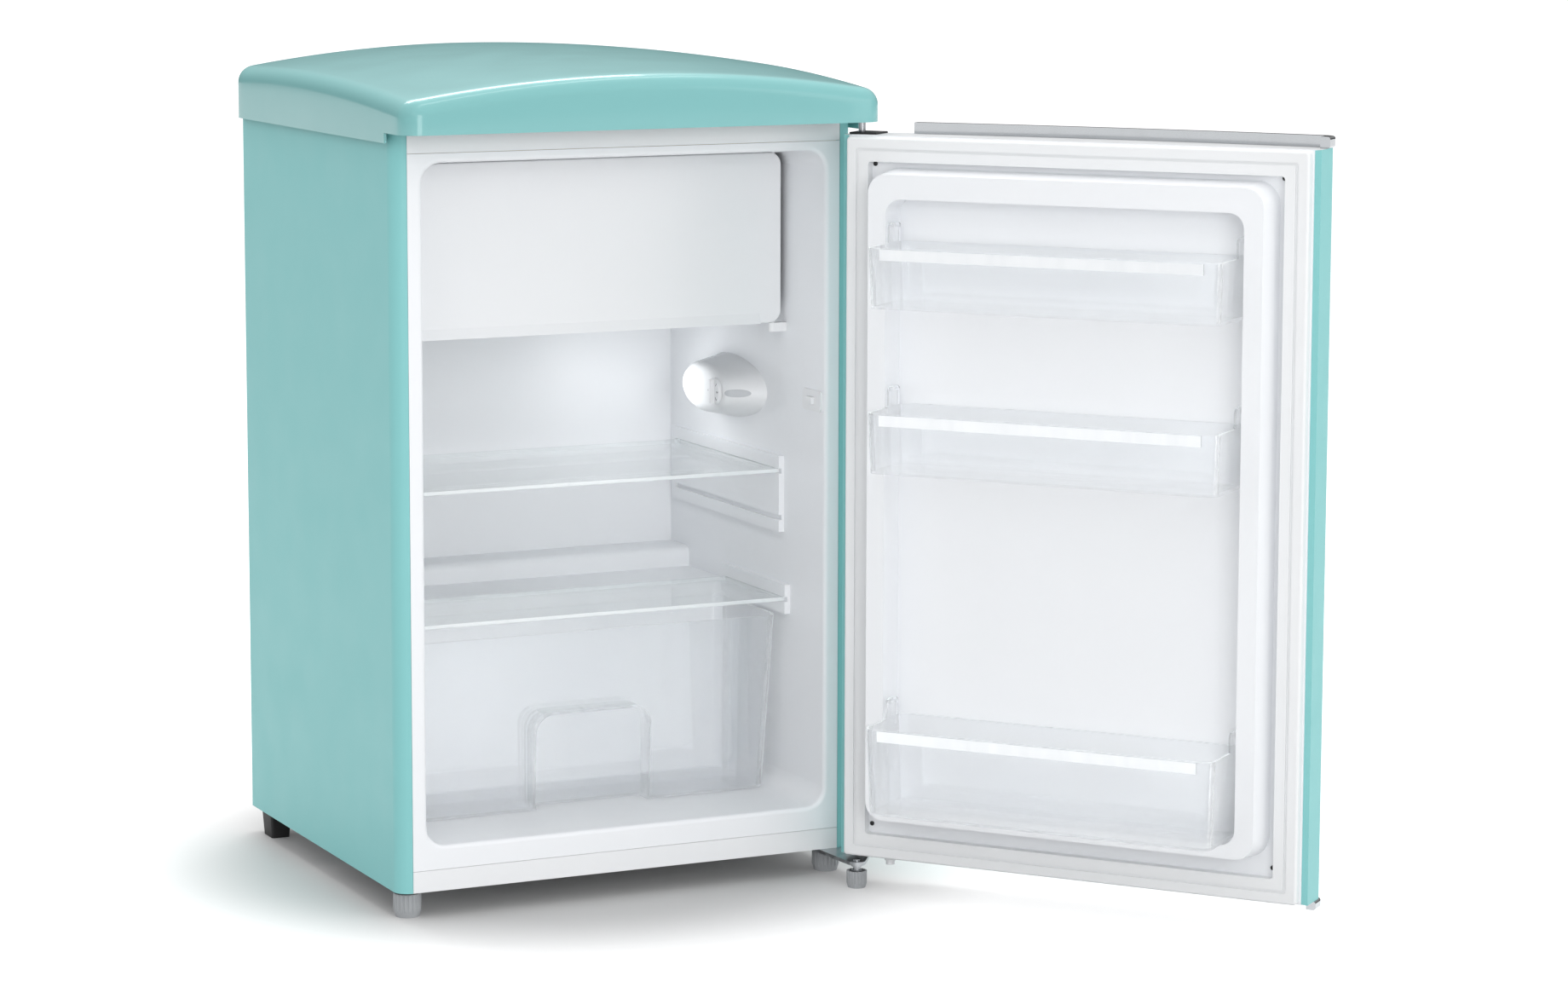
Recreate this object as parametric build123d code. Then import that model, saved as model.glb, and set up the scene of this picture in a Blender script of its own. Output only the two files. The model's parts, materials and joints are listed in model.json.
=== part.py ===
from build123d import *
import os
from math import cos, radians, sin, tan

# Retro table-top refrigerator with its door swung open to the right.
# Millimetres, +Z up, +X to the right, the front faces -Y.
# The origin is on the floor under the middle of the cabinet.

# Cabinet
CABINET_WIDTH = 550.0
CABINET_DEPTH = 488.0
CABINET_BOTTOM = 30.0
CABINET_HEIGHT = 830.0
SHEET = 1.0
FRONT_EDGE_RADIUS = 16.5
FRONT_RETURN = 10.0
REAR_RETURN = 14.0
UPPER_BAR_HEIGHT = 22.0
LOWER_BAR_HEIGHT = 23.6
BAR_DEPTH = 12.0
FRAME_GAP = 0.4

# Inner liner and insulation
SIDE_WALL = 34.0
CEILING_WALL = 34.0
FLOOR_WALL = 50.0
BACK_WALL = 81.0
LINER = 2.0
LINER_DRAFT = 0.7
MOUTH_CORNER = 22.0
MOUTH_LIP = 5.0
STEP_HEIGHT = 223.0
STEP_DEPTH = 149.0
STEP_TOE = 23.0
LEDGE_HEIGHT = 24.0
LEDGE_DEPTH = 52.0
STEP_ROUND = 10.0

# Machine niche at the back
NICHE_DEPTH = 198.0
NICHE_HEIGHT = 238.0
NICHE_ROUND = 20.0

# Top cover
COVER_SIDE_OVERHANG = 9.0
COVER_FRONT_OVERHANG = 60.0
COVER_REAR_OVERHANG = 8.0
COVER_SHELL = 3.0
COVER_SKIRT_LAP = 11.0
COVER_FRONT_LIFT = 1.0
COVER_CROWN_HEIGHT = 81.0
COVER_CROWN_SETBACK = 274.0
COVER_ARCH_RADIUS = 1440.0
COVER_DEPTH_RADIUS = 1940.0
COVER_CORNER = 23.0
COVER_TOP_ROUND = 21.0

# Shelves
GLASS = 5.0
RAIL_PROUD = 8.0
RAIL_SETBACK = 102.0
RAIL_END_GAP = 10.0
GROOVE_HEIGHT = 6.0
GROOVE_DEPTH = 3.5
RAIL_WEB = 14.0
SHELF_HEIGHT = 369.0
SPARE_GROOVE_DROP = 54.0
CRISPER_GLASS_HEIGHT = 222.0
CRISPER_RAIL_SETBACK = 86.0
SHELF_CLEARANCE = 0.5
SEAT_GAP = 0.3
GLASS_SETBACK = 6.0

# Crisper drawer
CRISPER_SIDE_GAP = 12.0
CRISPER_SETBACK = 95.0
CRISPER_HEIGHT = 203.0
CRISPER_WALL = 2.5
CRISPER_DRAFT = 3.0
CRISPER_BACK_GAP = 5.0
CRISPER_CORNER = 14.0
FINGER_WIDTH = 140.0
FINGER_HEIGHT = 112.0
FINGER_DEPTH = 34.0
FINGER_RADIUS = 22.0
RIM_WIDTH = 5.0
RIM_HEIGHT = 4.0

# Freezer compartment
FREEZER_HEIGHT = 186.0
FREEZER_SIDE_GAP = 13.0
FREEZER_TOP_GAP = 12.0
FREEZER_SETBACK = 114.0
FREEZER_BACK_GAP = 14.0
FREEZER_SHEET = 2.0
FREEZER_CORNER = 12.0
FLAP_SETBACK = 97.0
FLAP_THICKNESS = 9.0
FLAP_WALL = 2.0
FLAP_SIDE_GAP = 8.0
FLAP_OVERLAP = 4.0
FLAP_CORNER = 14.0
FLAP_LIP_HEIGHT = 16.0
FLAP_LIP_PROUD = 5.0
FLAP_PIVOT_INSET = 9.0
FLAP_PIN_RADIUS = 2.5
FLAP_PIN_LENGTH = 5.0
PIN_CLEARANCE = 0.08
PIVOT_BLOCK = 5.0
HANGER_SPREAD = 300.0
HANGER_END_INSET = 40.0
HANGER_LENGTH = 24.0
HANGER_WIDTH = 18.0

# Thermostat and lamp housing on the right wall
HOUSING_SETBACK = 228.0
HOUSING_RISE = 29.0
HOUSING_LENGTH = 168.0
HOUSING_TALL = 76.0
HOUSING_PROUD = 46.0
HOUSING_BLUNT_END = 66.0
EGG_POINTS = 16
HOUSING_TOP_SCALE = 0.72
HOUSING_ROUND = 12.0
LENS_LENGTH = 58.0
LENS_WALL = 2.0
DIAL_RADIUS = 16.0
DIAL_PROUD = 9.0
DIAL_GRIP = 5.0
DIAL_OFFSET = 36.0
DIAL_SHAFT_RADIUS = 3.0
DIAL_SHAFT_LENGTH = 12.0
CAP_OFFSET = 66.0
CAP_LENGTH = 16.0
CAP_TALL = 9.0

# Light switch
SWITCH_SETBACK = 30.0
SWITCH_HEIGHT = 462.0
SWITCH_LENGTH = 46.0
SWITCH_TALL = 24.0
SWITCH_BEZEL = 2.0
SWITCH_BODY_DEPTH = 22.0
SWITCH_BODY_MARGIN = 5.0
PLUNGER_LENGTH = 14.0
PLUNGER_TALL = 8.0
PLUNGER_PROUD = 4.0
PLUNGER_TRAVEL = 3.0
PLUNGER_GAP = 0.3

# Door, described shut and then swung open
DOOR_OPEN = 128.4
HINGE_INSET = 9.5
HINGE_FORWARD = 40.3
DOOR_BOTTOM = 37.0
DOOR_HEIGHT = 810.0
DOOR_EDGE = 60.0
DOOR_BOW = 16.0
DOOR_EDGE_ROUND = 12.0
DOOR_END_ROUND = 3.0
FLANGE_INSET = 7.0
FOLD_LAP = 3.0
FLANGE_END_INSET = 1.0
GASKET = 12.0
GASKET_CRUSH = 0.5
GASKET_INSET = 8.5
GASKET_WIDTH = 26.5
GASKET_ROUND = 3.0
GASKET_GROOVE = 2.0
DYKE_SIDE_GAP = 9.0
DYKE_TOP_GAP = 13.0
DYKE_FLOOR_GAP = 4.0
DYKE_WIDTH = 26.0
DYKE_TOP_WIDTH = 32.0
DYKE_FLOOR_WIDTH = 19.0
DYKE_PROUD = 40.0
DYKE_DRAFT = 7.0
DYKE_CORNER = 26.0
RECESS_CORNER = 18.0
TRIM_HEIGHT = 12.5
TRIM_PROUD = 2.5
TRIM_WIDTH = 11.0
TRIM_HINGE_GAP = 65.0
TRIM_SETBACK = 20.0
TRIM_ROUND = 3.0

# Door racks
RACK_DEPTH = 101.0
RACK_WALL = 2.5
RACK_DRAFT = 2.0
RACK_CORNER = 12.0
RACK_SIDE_GAP = 4.4
RACK_BACK_GAP = 3.0
UPPER_RACK_BOTTOM = 667.0
MIDDLE_RACK_BOTTOM = 487.0
LOWER_RACK_BOTTOM = 109.0
SHALLOW_RACK_HEIGHT = 66.0
DEEP_RACK_HEIGHT = 96.0
STRIP_HEIGHT = 13.0
STRIP_SHEET = 1.2
STRIP_END_GAP = 5.0
EAR_RISE = 22.0
EAR_LENGTH = 30.0
BOSS_PROUD = 4.0
BOSS_LENGTH = 14.0
BOSS_TALL = 16.0
HOOK_TALL = 6.0

# Hinges
HINGE_PLATE = 4.0
UPPER_PIN_RADIUS = 4.0
LOWER_PIN_RADIUS = 5.0
PIN_ENGAGEMENT = 20.0
HINGE_EYE_RADIUS = 12.0
HINGE_FOOT_INSET = 25.0
HINGE_FOOT_FORWARD = 66.0
FOOT_EYE_RADIUS = 10.0
SCREW_EYE_RADIUS = 9.0
INNER_SCREW_OFFSET = 26.0
OUTER_SCREW_OFFSET = 4.0
UPPER_SCREW_SETBACK = 44.0
LOWER_SCREW_SETBACK = 78.0
BUSH_LENGTH = 32.0
BUSH_WIDTH = 32.0
BUSH_DEPTH = 24.0
BUSH_PROUD = 2.0
BUSH_SKIN_GAP = 0.5
BUSH_GAP = 0.2
STOP_RADIUS = 6.5
STOP_INSET = 57.0
STOP_BACK = 10.0
STOP_HEIGHT = 9.0
SCREW_RADIUS = 2.0
SCREW_HEAD_RADIUS = 4.5
SCREW_HEAD = 2.4
SCREW_LENGTH = 9.0

# Feet
FRONT_FOOT_RADIUS = 15.5
FRONT_FOOT_HEIGHT = 26.0
FOOT_INSET = 19.0
FOOT_SETBACK = 25.0
HINGE_FOOT_RADIUS = 11.5
HINGE_FOOT_HEIGHT = 19.0
FOOT_RIBS = 20
FOOT_RIB_DEPTH = 1.0
STUD_RADIUS = 4.0
STUD_REACH = 12.0
STUD_CLEARANCE = 0.08
NUT_RADIUS = 8.0
REAR_FOOT_LENGTH = 34.0
REAR_FOOT_WIDTH = 26.0
REAR_FOOT_SETBACK = 38.0
REAR_FOOT_TAPER = 4.0

# Handle
HANDLE_BOTTOM = 470.0
HANDLE_HEIGHT = 230.0
HANDLE_REACH = 54.0
HANDLE_THICKNESS = 15.0
HANDLE_WIDTH = 26.0
HANDLE_EDGE_GAP = 30.0
HANDLE_POST = 30.0
HANDLE_ROUND = 5.0

# Compressor and its fittings
RAIL_HEIGHT = 12.0
RAIL_SHEET = 2.0
RAIL_DEPTH = 165.0
COMPRESSOR_RADIUS = 66.0
COMPRESSOR_STRETCH = 26.0
COMPRESSOR_HEIGHT = 150.0
COMPRESSOR_WALL = 5.0
COMPRESSOR_SEAM = 4.0
COMPRESSOR_X = 60.0
COMPRESSOR_FROM_BACK = 92.0
GROMMET_RADIUS = 11.0
GROMMET_HEIGHT = 14.0
GROMMET_SPREAD_X = 75.0
GROMMET_SPREAD_Y = 46.0
COMPRESSOR_FOOT = 3.0
TERMINAL_LENGTH = 46.0
TERMINAL_TALL = 60.0
TERMINAL_DEPTH = 40.0
GLAND_RADIUS = 7.0
GLAND_BORE = 3.6
GLAND_LENGTH = 14.0
TRAY_LENGTH = 150.0
TRAY_WIDTH = 110.0
TRAY_HEIGHT = 26.0
TRAY_WALL = 1.8
TRAY_GAP = 4.0
TUBE_RADIUS = 3.0
TUBE_BEND = 14.0
DRIER_RADIUS = 9.0
DRIER_LENGTH = 90.0

# Worked out from the sizes above
HALF = CABINET_WIDTH / 2
FRONT = -CABINET_DEPTH / 2
BACK = CABINET_DEPTH / 2
CABINET_TOP = CABINET_BOTTOM + CABINET_HEIGHT
FRAME_HALF = HALF - FRONT_EDGE_RADIUS
CAVITY_HALF = HALF - SIDE_WALL
CAVITY_FLOOR = CABINET_BOTTOM + FLOOR_WALL
CAVITY_CEILING = CABINET_TOP - CEILING_WALL
CAVITY_BACK = BACK - BACK_WALL
DRAFT_RATE = tan(radians(LINER_DRAFT))
RAIL_INNER = CAVITY_HALF - RAIL_PROUD
GLASS_HALF = RAIL_INNER + GROOVE_DEPTH - SHELF_CLEARANCE
SHELF_Z = CAVITY_FLOOR + SHELF_HEIGHT
CRISPER_GLASS_Z = CAVITY_FLOOR + CRISPER_GLASS_HEIGHT
HINGE_X = HALF - HINGE_INSET
HINGE_Y = FRONT - HINGE_FORWARD
HINGE_FOOT_X = HALF - HINGE_FOOT_INSET
DOOR_TOP = DOOR_BOTTOM + DOOR_HEIGHT
DOOR_INNER_Y = FRONT - GASKET
DYKE_HALF = CAVITY_HALF - DYKE_SIDE_GAP
RACK_HALF = DYKE_HALF - DYKE_WIDTH - RACK_SIDE_GAP
HOUSING_Y = FRONT + HOUSING_SETBACK
HOUSING_Z = SHELF_Z + GROOVE_HEIGHT + RAIL_WEB + HOUSING_RISE + HOUSING_TALL / 2
SWITCH_Y = FRONT + SWITCH_SETBACK
SWITCH_Z = CAVITY_FLOOR + SWITCH_HEIGHT
FLAP_AXIS_X = CAVITY_HALF - FLAP_SIDE_GAP - FLAP_PIVOT_INSET
FLAP_AXIS_Y = FRONT + FLAP_SETBACK + FLAP_THICKNESS / 2
FREEZER_TOP = CAVITY_CEILING - FREEZER_TOP_GAP
FREEZER_BOTTOM = FREEZER_TOP - FREEZER_HEIGHT
STEP_FOOT_Y = CAVITY_BACK - STEP_DEPTH - STEP_TOE
CRISPER_FLOOR = CAVITY_FLOOR + (STEP_FOOT_Y - FRONT) * DRAFT_RATE + SEAT_GAP
COMPRESSOR_Y = BACK - COMPRESSOR_FROM_BACK
COMPRESSOR_Z = CABINET_BOTTOM + RAIL_HEIGHT + GROMMET_HEIGHT


def block(x0, x1, y0, y1, z0, z1):
    """A box between two corners."""
    middle = ((x0 + x1) / 2, (y0 + y1) / 2, (z0 + z1) / 2)
    return Pos(*middle) * Box(x1 - x0, y1 - y0, z1 - z0)


def both_sides(shape):
    """A shape and its mirror image across the middle of the cabinet."""
    return [shape, mirror(shape, about=Plane.YZ)]


def cylinder_z(x, y, z0, z1, radius):
    """An upright cylinder between two heights."""
    return Pos(x, y, (z0 + z1) / 2) * Cylinder(radius, z1 - z0)


def front_sketch(half_width, z0, z1, corner):
    """A rounded rectangle facing the front, centred left to right."""
    return RectangleRounded(2 * half_width, z1 - z0, corner)


def front_prism(half_width, z0, z1, corner, y0, y1, draft=0.0):
    """A rounded rectangle pushed back from y0 to y1, narrowing by the draft."""
    plane = Plane(origin=(0, y0, (z0 + z1) / 2), x_dir=(1, 0, 0), z_dir=(0, 1, 0))
    return extrude(plane * front_sketch(half_width, z0, z1, corner), y1 - y0, taper=draft)


def side_profile(points, x0, x1):
    """A closed outline given as (y, z) points, extruded between two x values."""
    plane = Plane(origin=(x0, 0, 0), x_dir=(0, 1, 0), z_dir=(1, 0, 0))
    return extrude(plane * make_face(Polyline(*points, close=True)), x1 - x0)


def swing(shape):
    """A door piece turned from shut to its open position."""
    return shape.rotate(Axis((HINGE_X, HINGE_Y, 0), (0, 0, 1)), DOOR_OPEN)


# Cabinet shell


def side_panel():
    """The left steel side: a sheet with a rolled front edge and two returns."""
    rear = (-HALF + REAR_RETURN, BACK)
    rear_corner = (-HALF, BACK)
    roll_start = (-HALF, FRONT + FRONT_EDGE_RADIUS)
    roll_end = (-FRAME_HALF, FRONT)
    tail = (-FRAME_HALF, FRONT + FRONT_RETURN)
    middle = FRONT_EDGE_RADIUS * (1 - sin(radians(45)))
    line = Polyline(rear, rear_corner, roll_start)
    line += ThreePointArc(roll_start, (-HALF + middle, FRONT + middle), roll_end)
    line += Line(roll_end, tail)
    inner_tail = (-FRAME_HALF - SHEET, FRONT + FRONT_RETURN)
    inner_end = (-FRAME_HALF - SHEET, FRONT + SHEET)
    inner_roll_end = (-FRAME_HALF, FRONT + SHEET)
    inner_start = (-HALF + SHEET, FRONT + FRONT_EDGE_RADIUS)
    inner_middle = FRONT_EDGE_RADIUS - (FRONT_EDGE_RADIUS - SHEET) * sin(radians(45))
    line += Polyline(tail, inner_tail, inner_end)
    line += ThreePointArc(inner_end, (-HALF + inner_middle, FRONT + inner_middle), inner_start)
    inner_rear = (-HALF + SHEET, BACK - SHEET)
    line += Polyline(inner_start, inner_rear, (-HALF + REAR_RETURN, BACK - SHEET), rear)
    face = make_face(line)
    return Pos(0, 0, CABINET_BOTTOM) * extrude(face, CABINET_HEIGHT - SHEET)


def crossbar(z0, z1):
    """A white front crossbar, a channel open to the back."""
    y0, y1 = FRONT, FRONT + BAR_DEPTH
    half = FRAME_HALF - FRAME_GAP
    bar = block(-half, half, y0, y1, z0, z1)
    hollow = block(-half - 1, half + 1, y0 + SHEET, y1 + 1, z0 + SHEET, z1 - SHEET)
    return bar - hollow


def top_plate():
    """The sheet that closes the cabinet's top, under the cover."""
    return block(-HALF, HALF, FRONT + FRONT_EDGE_RADIUS, BACK, CABINET_TOP - SHEET, CABINET_TOP)


def back_panel():
    """The flat back sheet, held behind the side returns."""
    half = HALF - SHEET
    z0 = CABINET_BOTTOM + NICHE_HEIGHT + SHEET
    panel = block(-half, half, BACK - 2 * SHEET, BACK - SHEET, z0, CABINET_TOP - SHEET)
    return panel


def niche_outline(inset):
    """The underside of the cabinet from front to back, with the machine niche, as a (y, z) path."""
    y0 = FRONT + FRONT_EDGE_RADIUS
    riser = BACK - NICHE_DEPTH - inset
    low = CABINET_BOTTOM + inset
    high = CABINET_BOTTOM + NICHE_HEIGHT + inset
    return y0, riser, low, high


def base_panel():
    """One bent sheet: the bottom, the riser in front of the compressor and the shelf above it."""
    half = HALF - SHEET
    outside = niche_solid(0.0, half)
    inside = niche_solid(SHEET, half)
    panel = inside_of_base(half) & (inside - outside)
    for side in (-1, 1):
        foot_x = side * (HALF - FOOT_INSET)
        panel -= cylinder_z(foot_x, FRONT + FOOT_SETBACK, CABINET_BOTTOM - 1, CABINET_BOTTOM + 2,
                            STUD_RADIUS + STUD_CLEARANCE)
    return panel


def niche_solid(inset, half):
    """Everything below the bent base sheet, grown upwards and forwards by the inset."""
    y0, riser, low, high = niche_outline(inset)
    under = block(-half, half, y0, BACK + 1, 0, low)
    room = block(-half, half, riser, BACK + 1, 0, high)
    edges = room.edges().filter_by(Axis.X).group_by(Axis.Z)[-1].sort_by(Axis.Y)
    room = fillet(edges[0], NICHE_ROUND + inset)
    return under + room


def inside_of_base(half):
    """The space the bent base sheet may fill."""
    y0 = FRONT + FRONT_EDGE_RADIUS
    return block(-half, half, y0, BACK - 2 * SHEET, 0, CABINET_TOP)


def dome(crown, arch_radius, depth_radius):
    """A block whose top is arched left to right and front to back."""
    centre_y = FRONT + COVER_CROWN_SETBACK
    reach = CABINET_WIDTH
    sag = arch_radius - (arch_radius ** 2 - reach ** 2) ** 0.5
    plane = Plane(origin=(0, centre_y, 0), x_dir=(1, 0, 0), z_dir=(0, -1, 0))
    low = CABINET_TOP - 60
    line = ThreePointArc((-reach, crown - sag), (0, crown), (reach, crown - sag))
    line += Polyline((reach, crown - sag), (reach, low - sag), (-reach, low - sag), (-reach, crown - sag))
    face = plane * make_face(line)
    axis = Axis((0, centre_y, crown - depth_radius), (1, 0, 0))
    angle = 26.0
    return revolve(face.rotate(axis, -angle / 2), axis, angle)


def cover_solid(inset):
    """The top cover as a full body, drawn in by the inset on every side but the bottom."""
    half = HALF + COVER_SIDE_OVERHANG - inset
    y0 = FRONT - COVER_FRONT_OVERHANG + inset
    y1 = BACK + COVER_REAR_OVERHANG - inset
    z0 = CABINET_TOP - COVER_SKIRT_LAP
    crown = CABINET_TOP + COVER_CROWN_HEIGHT - inset
    corner = COVER_CORNER - inset
    plan = Pos(0, (y0 + y1) / 2, z0) * RectangleRounded(2 * half, y1 - y0, corner)
    prism = extrude(plan, COVER_CROWN_HEIGHT + COVER_SKIRT_LAP + 40)
    body = prism & dome(crown, COVER_ARCH_RADIUS - inset, COVER_DEPTH_RADIUS - inset)
    top = [e for e in body.edges() if e.center().Z > CABINET_TOP + 10 and abs(e.tangent_at(0.5).Z) < 0.5]
    return fillet(top, COVER_TOP_ROUND - inset)


def top_cover():
    """The domed cover: a shell open underneath, whose front hangs over the shut door."""
    shell = cover_solid(0.0) - cover_solid(COVER_SHELL)
    lift = CABINET_TOP + COVER_FRONT_LIFT
    front = block(-CABINET_WIDTH, CABINET_WIDTH, FRONT - 2 * COVER_FRONT_OVERHANG, FRONT, 0, lift)
    gap = SEAT_GAP
    cabinet = block(-HALF - gap, HALF + gap, FRONT - gap, BACK + gap, 0, CABINET_TOP + gap)
    return shell - front - cabinet


# Inner liner, insulation and what is in the cavity


def cavity(grow):
    """The food space as a solid, grown on every side by a wall thickness."""
    back = CAVITY_BACK + grow
    space = front_prism(CAVITY_HALF + grow, CAVITY_FLOOR - grow, CAVITY_CEILING + grow,
                        MOUTH_CORNER + grow, FRONT, back, LINER_DRAFT)
    step_top = CAVITY_FLOOR + STEP_HEIGHT - grow
    step_y = CAVITY_BACK - STEP_DEPTH + grow
    ledge_top = step_top + LEDGE_HEIGHT
    ledge_y = CAVITY_BACK - LEDGE_DEPTH + grow
    toe_y = step_y - STEP_TOE
    low = CAVITY_FLOOR - 40
    far = back + 40
    outline = [(toe_y, low), (toe_y, CAVITY_FLOOR - grow), (step_y, step_top), (ledge_y, step_top),
               (ledge_y, ledge_top), (far, ledge_top), (far, low)]
    step = side_profile(outline, -CABINET_WIDTH, CABINET_WIDTH)
    nose = step.edges().filter_by(Axis.X).filter_by_position(Axis.Z, step_top - 1, step_top + 1)
    nose = [e for e in nose if e.center().Y < step_y + 1]
    lip = step.edges().filter_by(Axis.X).filter_by_position(Axis.Z, ledge_top - 1, ledge_top + 1)
    lip = [e for e in lip if e.center().Y < ledge_y + 1]
    step = fillet(nose + lip, STEP_ROUND - grow)
    return space - step


def rail_grooves(z, y0, y1):
    """A pair of grooves at one height, one in each side wall's moulding."""
    z0 = z - SEAT_GAP
    groove = block(RAIL_INNER - 1, RAIL_INNER + GROOVE_DEPTH, y0, y1, z0, z0 + GROOVE_HEIGHT)
    return both_sides(groove)


def rail_mouldings():
    """The raised mouldings on the side walls that the glass slides into."""
    y0 = FRONT + RAIL_SETBACK
    y1 = CAVITY_BACK - RAIL_END_GAP
    low = SHELF_Z - SPARE_GROOVE_DROP - RAIL_WEB
    upper = block(RAIL_INNER, HALF, y0, y1, low, SHELF_Z + GROOVE_HEIGHT + RAIL_WEB)
    y2 = FRONT + CRISPER_RAIL_SETBACK
    y3 = CAVITY_BACK - STEP_DEPTH
    lower = block(RAIL_INNER, HALF, y2, y3, CRISPER_GLASS_Z - RAIL_WEB,
                  CRISPER_GLASS_Z + GROOVE_HEIGHT + RAIL_WEB)
    rails = both_sides(upper) + both_sides(lower)
    cuts = rail_grooves(SHELF_Z, y0 - 1, y1 - RAIL_END_GAP)
    cuts += rail_grooves(SHELF_Z - SPARE_GROOVE_DROP, y0 - 1, y1 - RAIL_END_GAP)
    cuts += rail_grooves(CRISPER_GLASS_Z, y2 - 1, y3 + 1)
    return rails, cuts


def inner_liner(outer, inner):
    """The moulded white liner with its front flange, step and shelf mouldings."""
    half = FRAME_HALF - FRAME_GAP
    z0 = CABINET_BOTTOM + LOWER_BAR_HEIGHT + FRAME_GAP
    z1 = CABINET_TOP - SHEET - UPPER_BAR_HEIGHT - FRAME_GAP
    flange = block(-half, half, FRONT, FRONT + LINER, z0, z1)
    liner = (flange + outer) - inner
    mouth = [e for e in liner.edges() if abs(e.center().Y - FRONT) < 0.01
             and abs(e.center().X) < CAVITY_HALF + 1 and CAVITY_FLOOR - 1 < e.center().Z < CAVITY_CEILING + 1]
    liner = fillet(mouth, MOUTH_LIP)
    rails, cuts = rail_mouldings()
    for rail in rails:
        liner += rail & outer
    for cut in cuts:
        liner -= cut
    return liner - switch_pocket(0.0)


def cabinet_insulation(outer):
    """The foam between the liner and the steel skin."""
    half = HALF - SHEET
    y0 = FRONT + FRONT_EDGE_RADIUS
    foam = block(-half, half, y0, BACK - 2 * SHEET, CABINET_BOTTOM + SHEET, CABINET_TOP - SHEET)
    foam -= niche_solid(SHEET, CABINET_WIDTH)
    foam -= outer
    foam -= switch_pocket(0.0)
    for side in (-1, 1):
        foam -= cylinder_z(side * (HALF - FOOT_INSET), FRONT + FOOT_SETBACK, CABINET_BOTTOM,
                           CABINET_BOTTOM + SHEET + STUD_REACH + 2, NUT_RADIUS)
    return foam


def shelf_glass():
    """The upper shelf pane."""
    y0 = FRONT + RAIL_SETBACK + GLASS_SETBACK
    y1 = CAVITY_BACK - 2 * RAIL_END_GAP - GLASS_SETBACK
    pane = block(-GLASS_HALF, GLASS_HALF, y0, y1, SHELF_Z, SHELF_Z + GLASS)
    return fillet(pane.edges().filter_by(Axis.X).group_by(Axis.Y)[0], GLASS * 0.3)


def crisper_glass():
    """The pane that covers the crisper drawer."""
    y0 = FRONT + CRISPER_RAIL_SETBACK + GLASS_SETBACK
    y1 = CAVITY_BACK - STEP_DEPTH - GLASS_SETBACK
    pane = block(-GLASS_HALF, GLASS_HALF, y0, y1, CRISPER_GLASS_Z, CRISPER_GLASS_Z + GLASS)
    return fillet(pane.edges().filter_by(Axis.X).group_by(Axis.Y)[0], GLASS * 0.3)


def finger_arch(grow):
    """The arch-shaped finger recess in the drawer's front, open at the bottom."""
    z0 = CAVITY_FLOOR - 10
    z1 = CAVITY_FLOOR + FINGER_HEIGHT + grow
    y0 = FRONT + CRISPER_SETBACK
    half = FINGER_WIDTH / 2 + grow
    plane = Plane(origin=(0, y0 - 20, 0), x_dir=(1, 0, 0), z_dir=(0, -1, 0))
    sketch = plane * (Pos(0, (z0 + z1) / 2) * RectangleRounded(2 * half, z1 - z0, FINGER_RADIUS))
    return extrude(sketch, -(20 + FINGER_DEPTH + grow))


def crisper_tub(inset, floor):
    """The drawer's outline as a full body, drawn in by a wall thickness."""
    half = CAVITY_HALF - CRISPER_SIDE_GAP - inset
    y0 = FRONT + CRISPER_SETBACK + inset
    lean = STEP_TOE * CRISPER_HEIGHT / STEP_HEIGHT
    y1 = STEP_FOOT_Y - CRISPER_BACK_GAP - inset
    z0 = CRISPER_FLOOR + floor
    z1 = CRISPER_FLOOR + CRISPER_HEIGHT
    narrow = CRISPER_HEIGHT * tan(radians(CRISPER_DRAFT))
    corner = CRISPER_CORNER - inset
    low = Pos(0, (y0 + y1 + narrow) / 2, z0) * RectangleRounded(2 * (half - narrow), y1 - y0 - narrow, corner)
    high = Pos(0, (y0 + y1 + lean) / 2, z1) * RectangleRounded(2 * half, y1 + lean - y0, corner)
    return loft([low, high])


def crisper_drawer():
    """The clear drawer with its finger recess and a folded rim."""
    outer = crisper_tub(0.0, 0.0) - finger_arch(0.0)
    inner = crisper_tub(CRISPER_WALL, CRISPER_WALL) - finger_arch(CRISPER_WALL)
    return outer - inner


def freezer_box():
    """The freezer compartment, a bent aluminium evaporator open to the front."""
    half = CAVITY_HALF - FREEZER_SIDE_GAP
    y0 = FRONT + FREEZER_SETBACK
    y1 = CAVITY_BACK - FREEZER_BACK_GAP
    box = front_prism(half, FREEZER_BOTTOM, FREEZER_TOP, FREEZER_CORNER, y0, y1)
    hollow = front_prism(half - FREEZER_SHEET, FREEZER_BOTTOM + FREEZER_SHEET, FREEZER_TOP - FREEZER_SHEET,
                         FREEZER_CORNER - FREEZER_SHEET, y0 - 1, y1 - FREEZER_SHEET)
    return box - hollow


def freezer_hangers(inner):
    """The four white clips that hang the freezer box from the liner's ceiling."""
    clips = []
    front_y = FRONT + FREEZER_SETBACK + HANGER_END_INSET
    back_y = CAVITY_BACK - FREEZER_BACK_GAP - HANGER_END_INSET
    for x in (-HANGER_SPREAD / 2, HANGER_SPREAD / 2):
        for y in (front_y, back_y):
            x0, y0 = x - HANGER_LENGTH / 2, y - HANGER_WIDTH / 2
            clip = block(x0, x0 + HANGER_LENGTH, y0, y0 + HANGER_WIDTH, FREEZER_TOP, CAVITY_CEILING + 5)
            clips.append((clip & inner).solid())
    return Compound(clips)


def flap_pin(z0, z1, radius):
    """A short upright pin on the flap's hinge line."""
    return cylinder_z(FLAP_AXIS_X, FLAP_AXIS_Y, z0, z1, radius)


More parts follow.
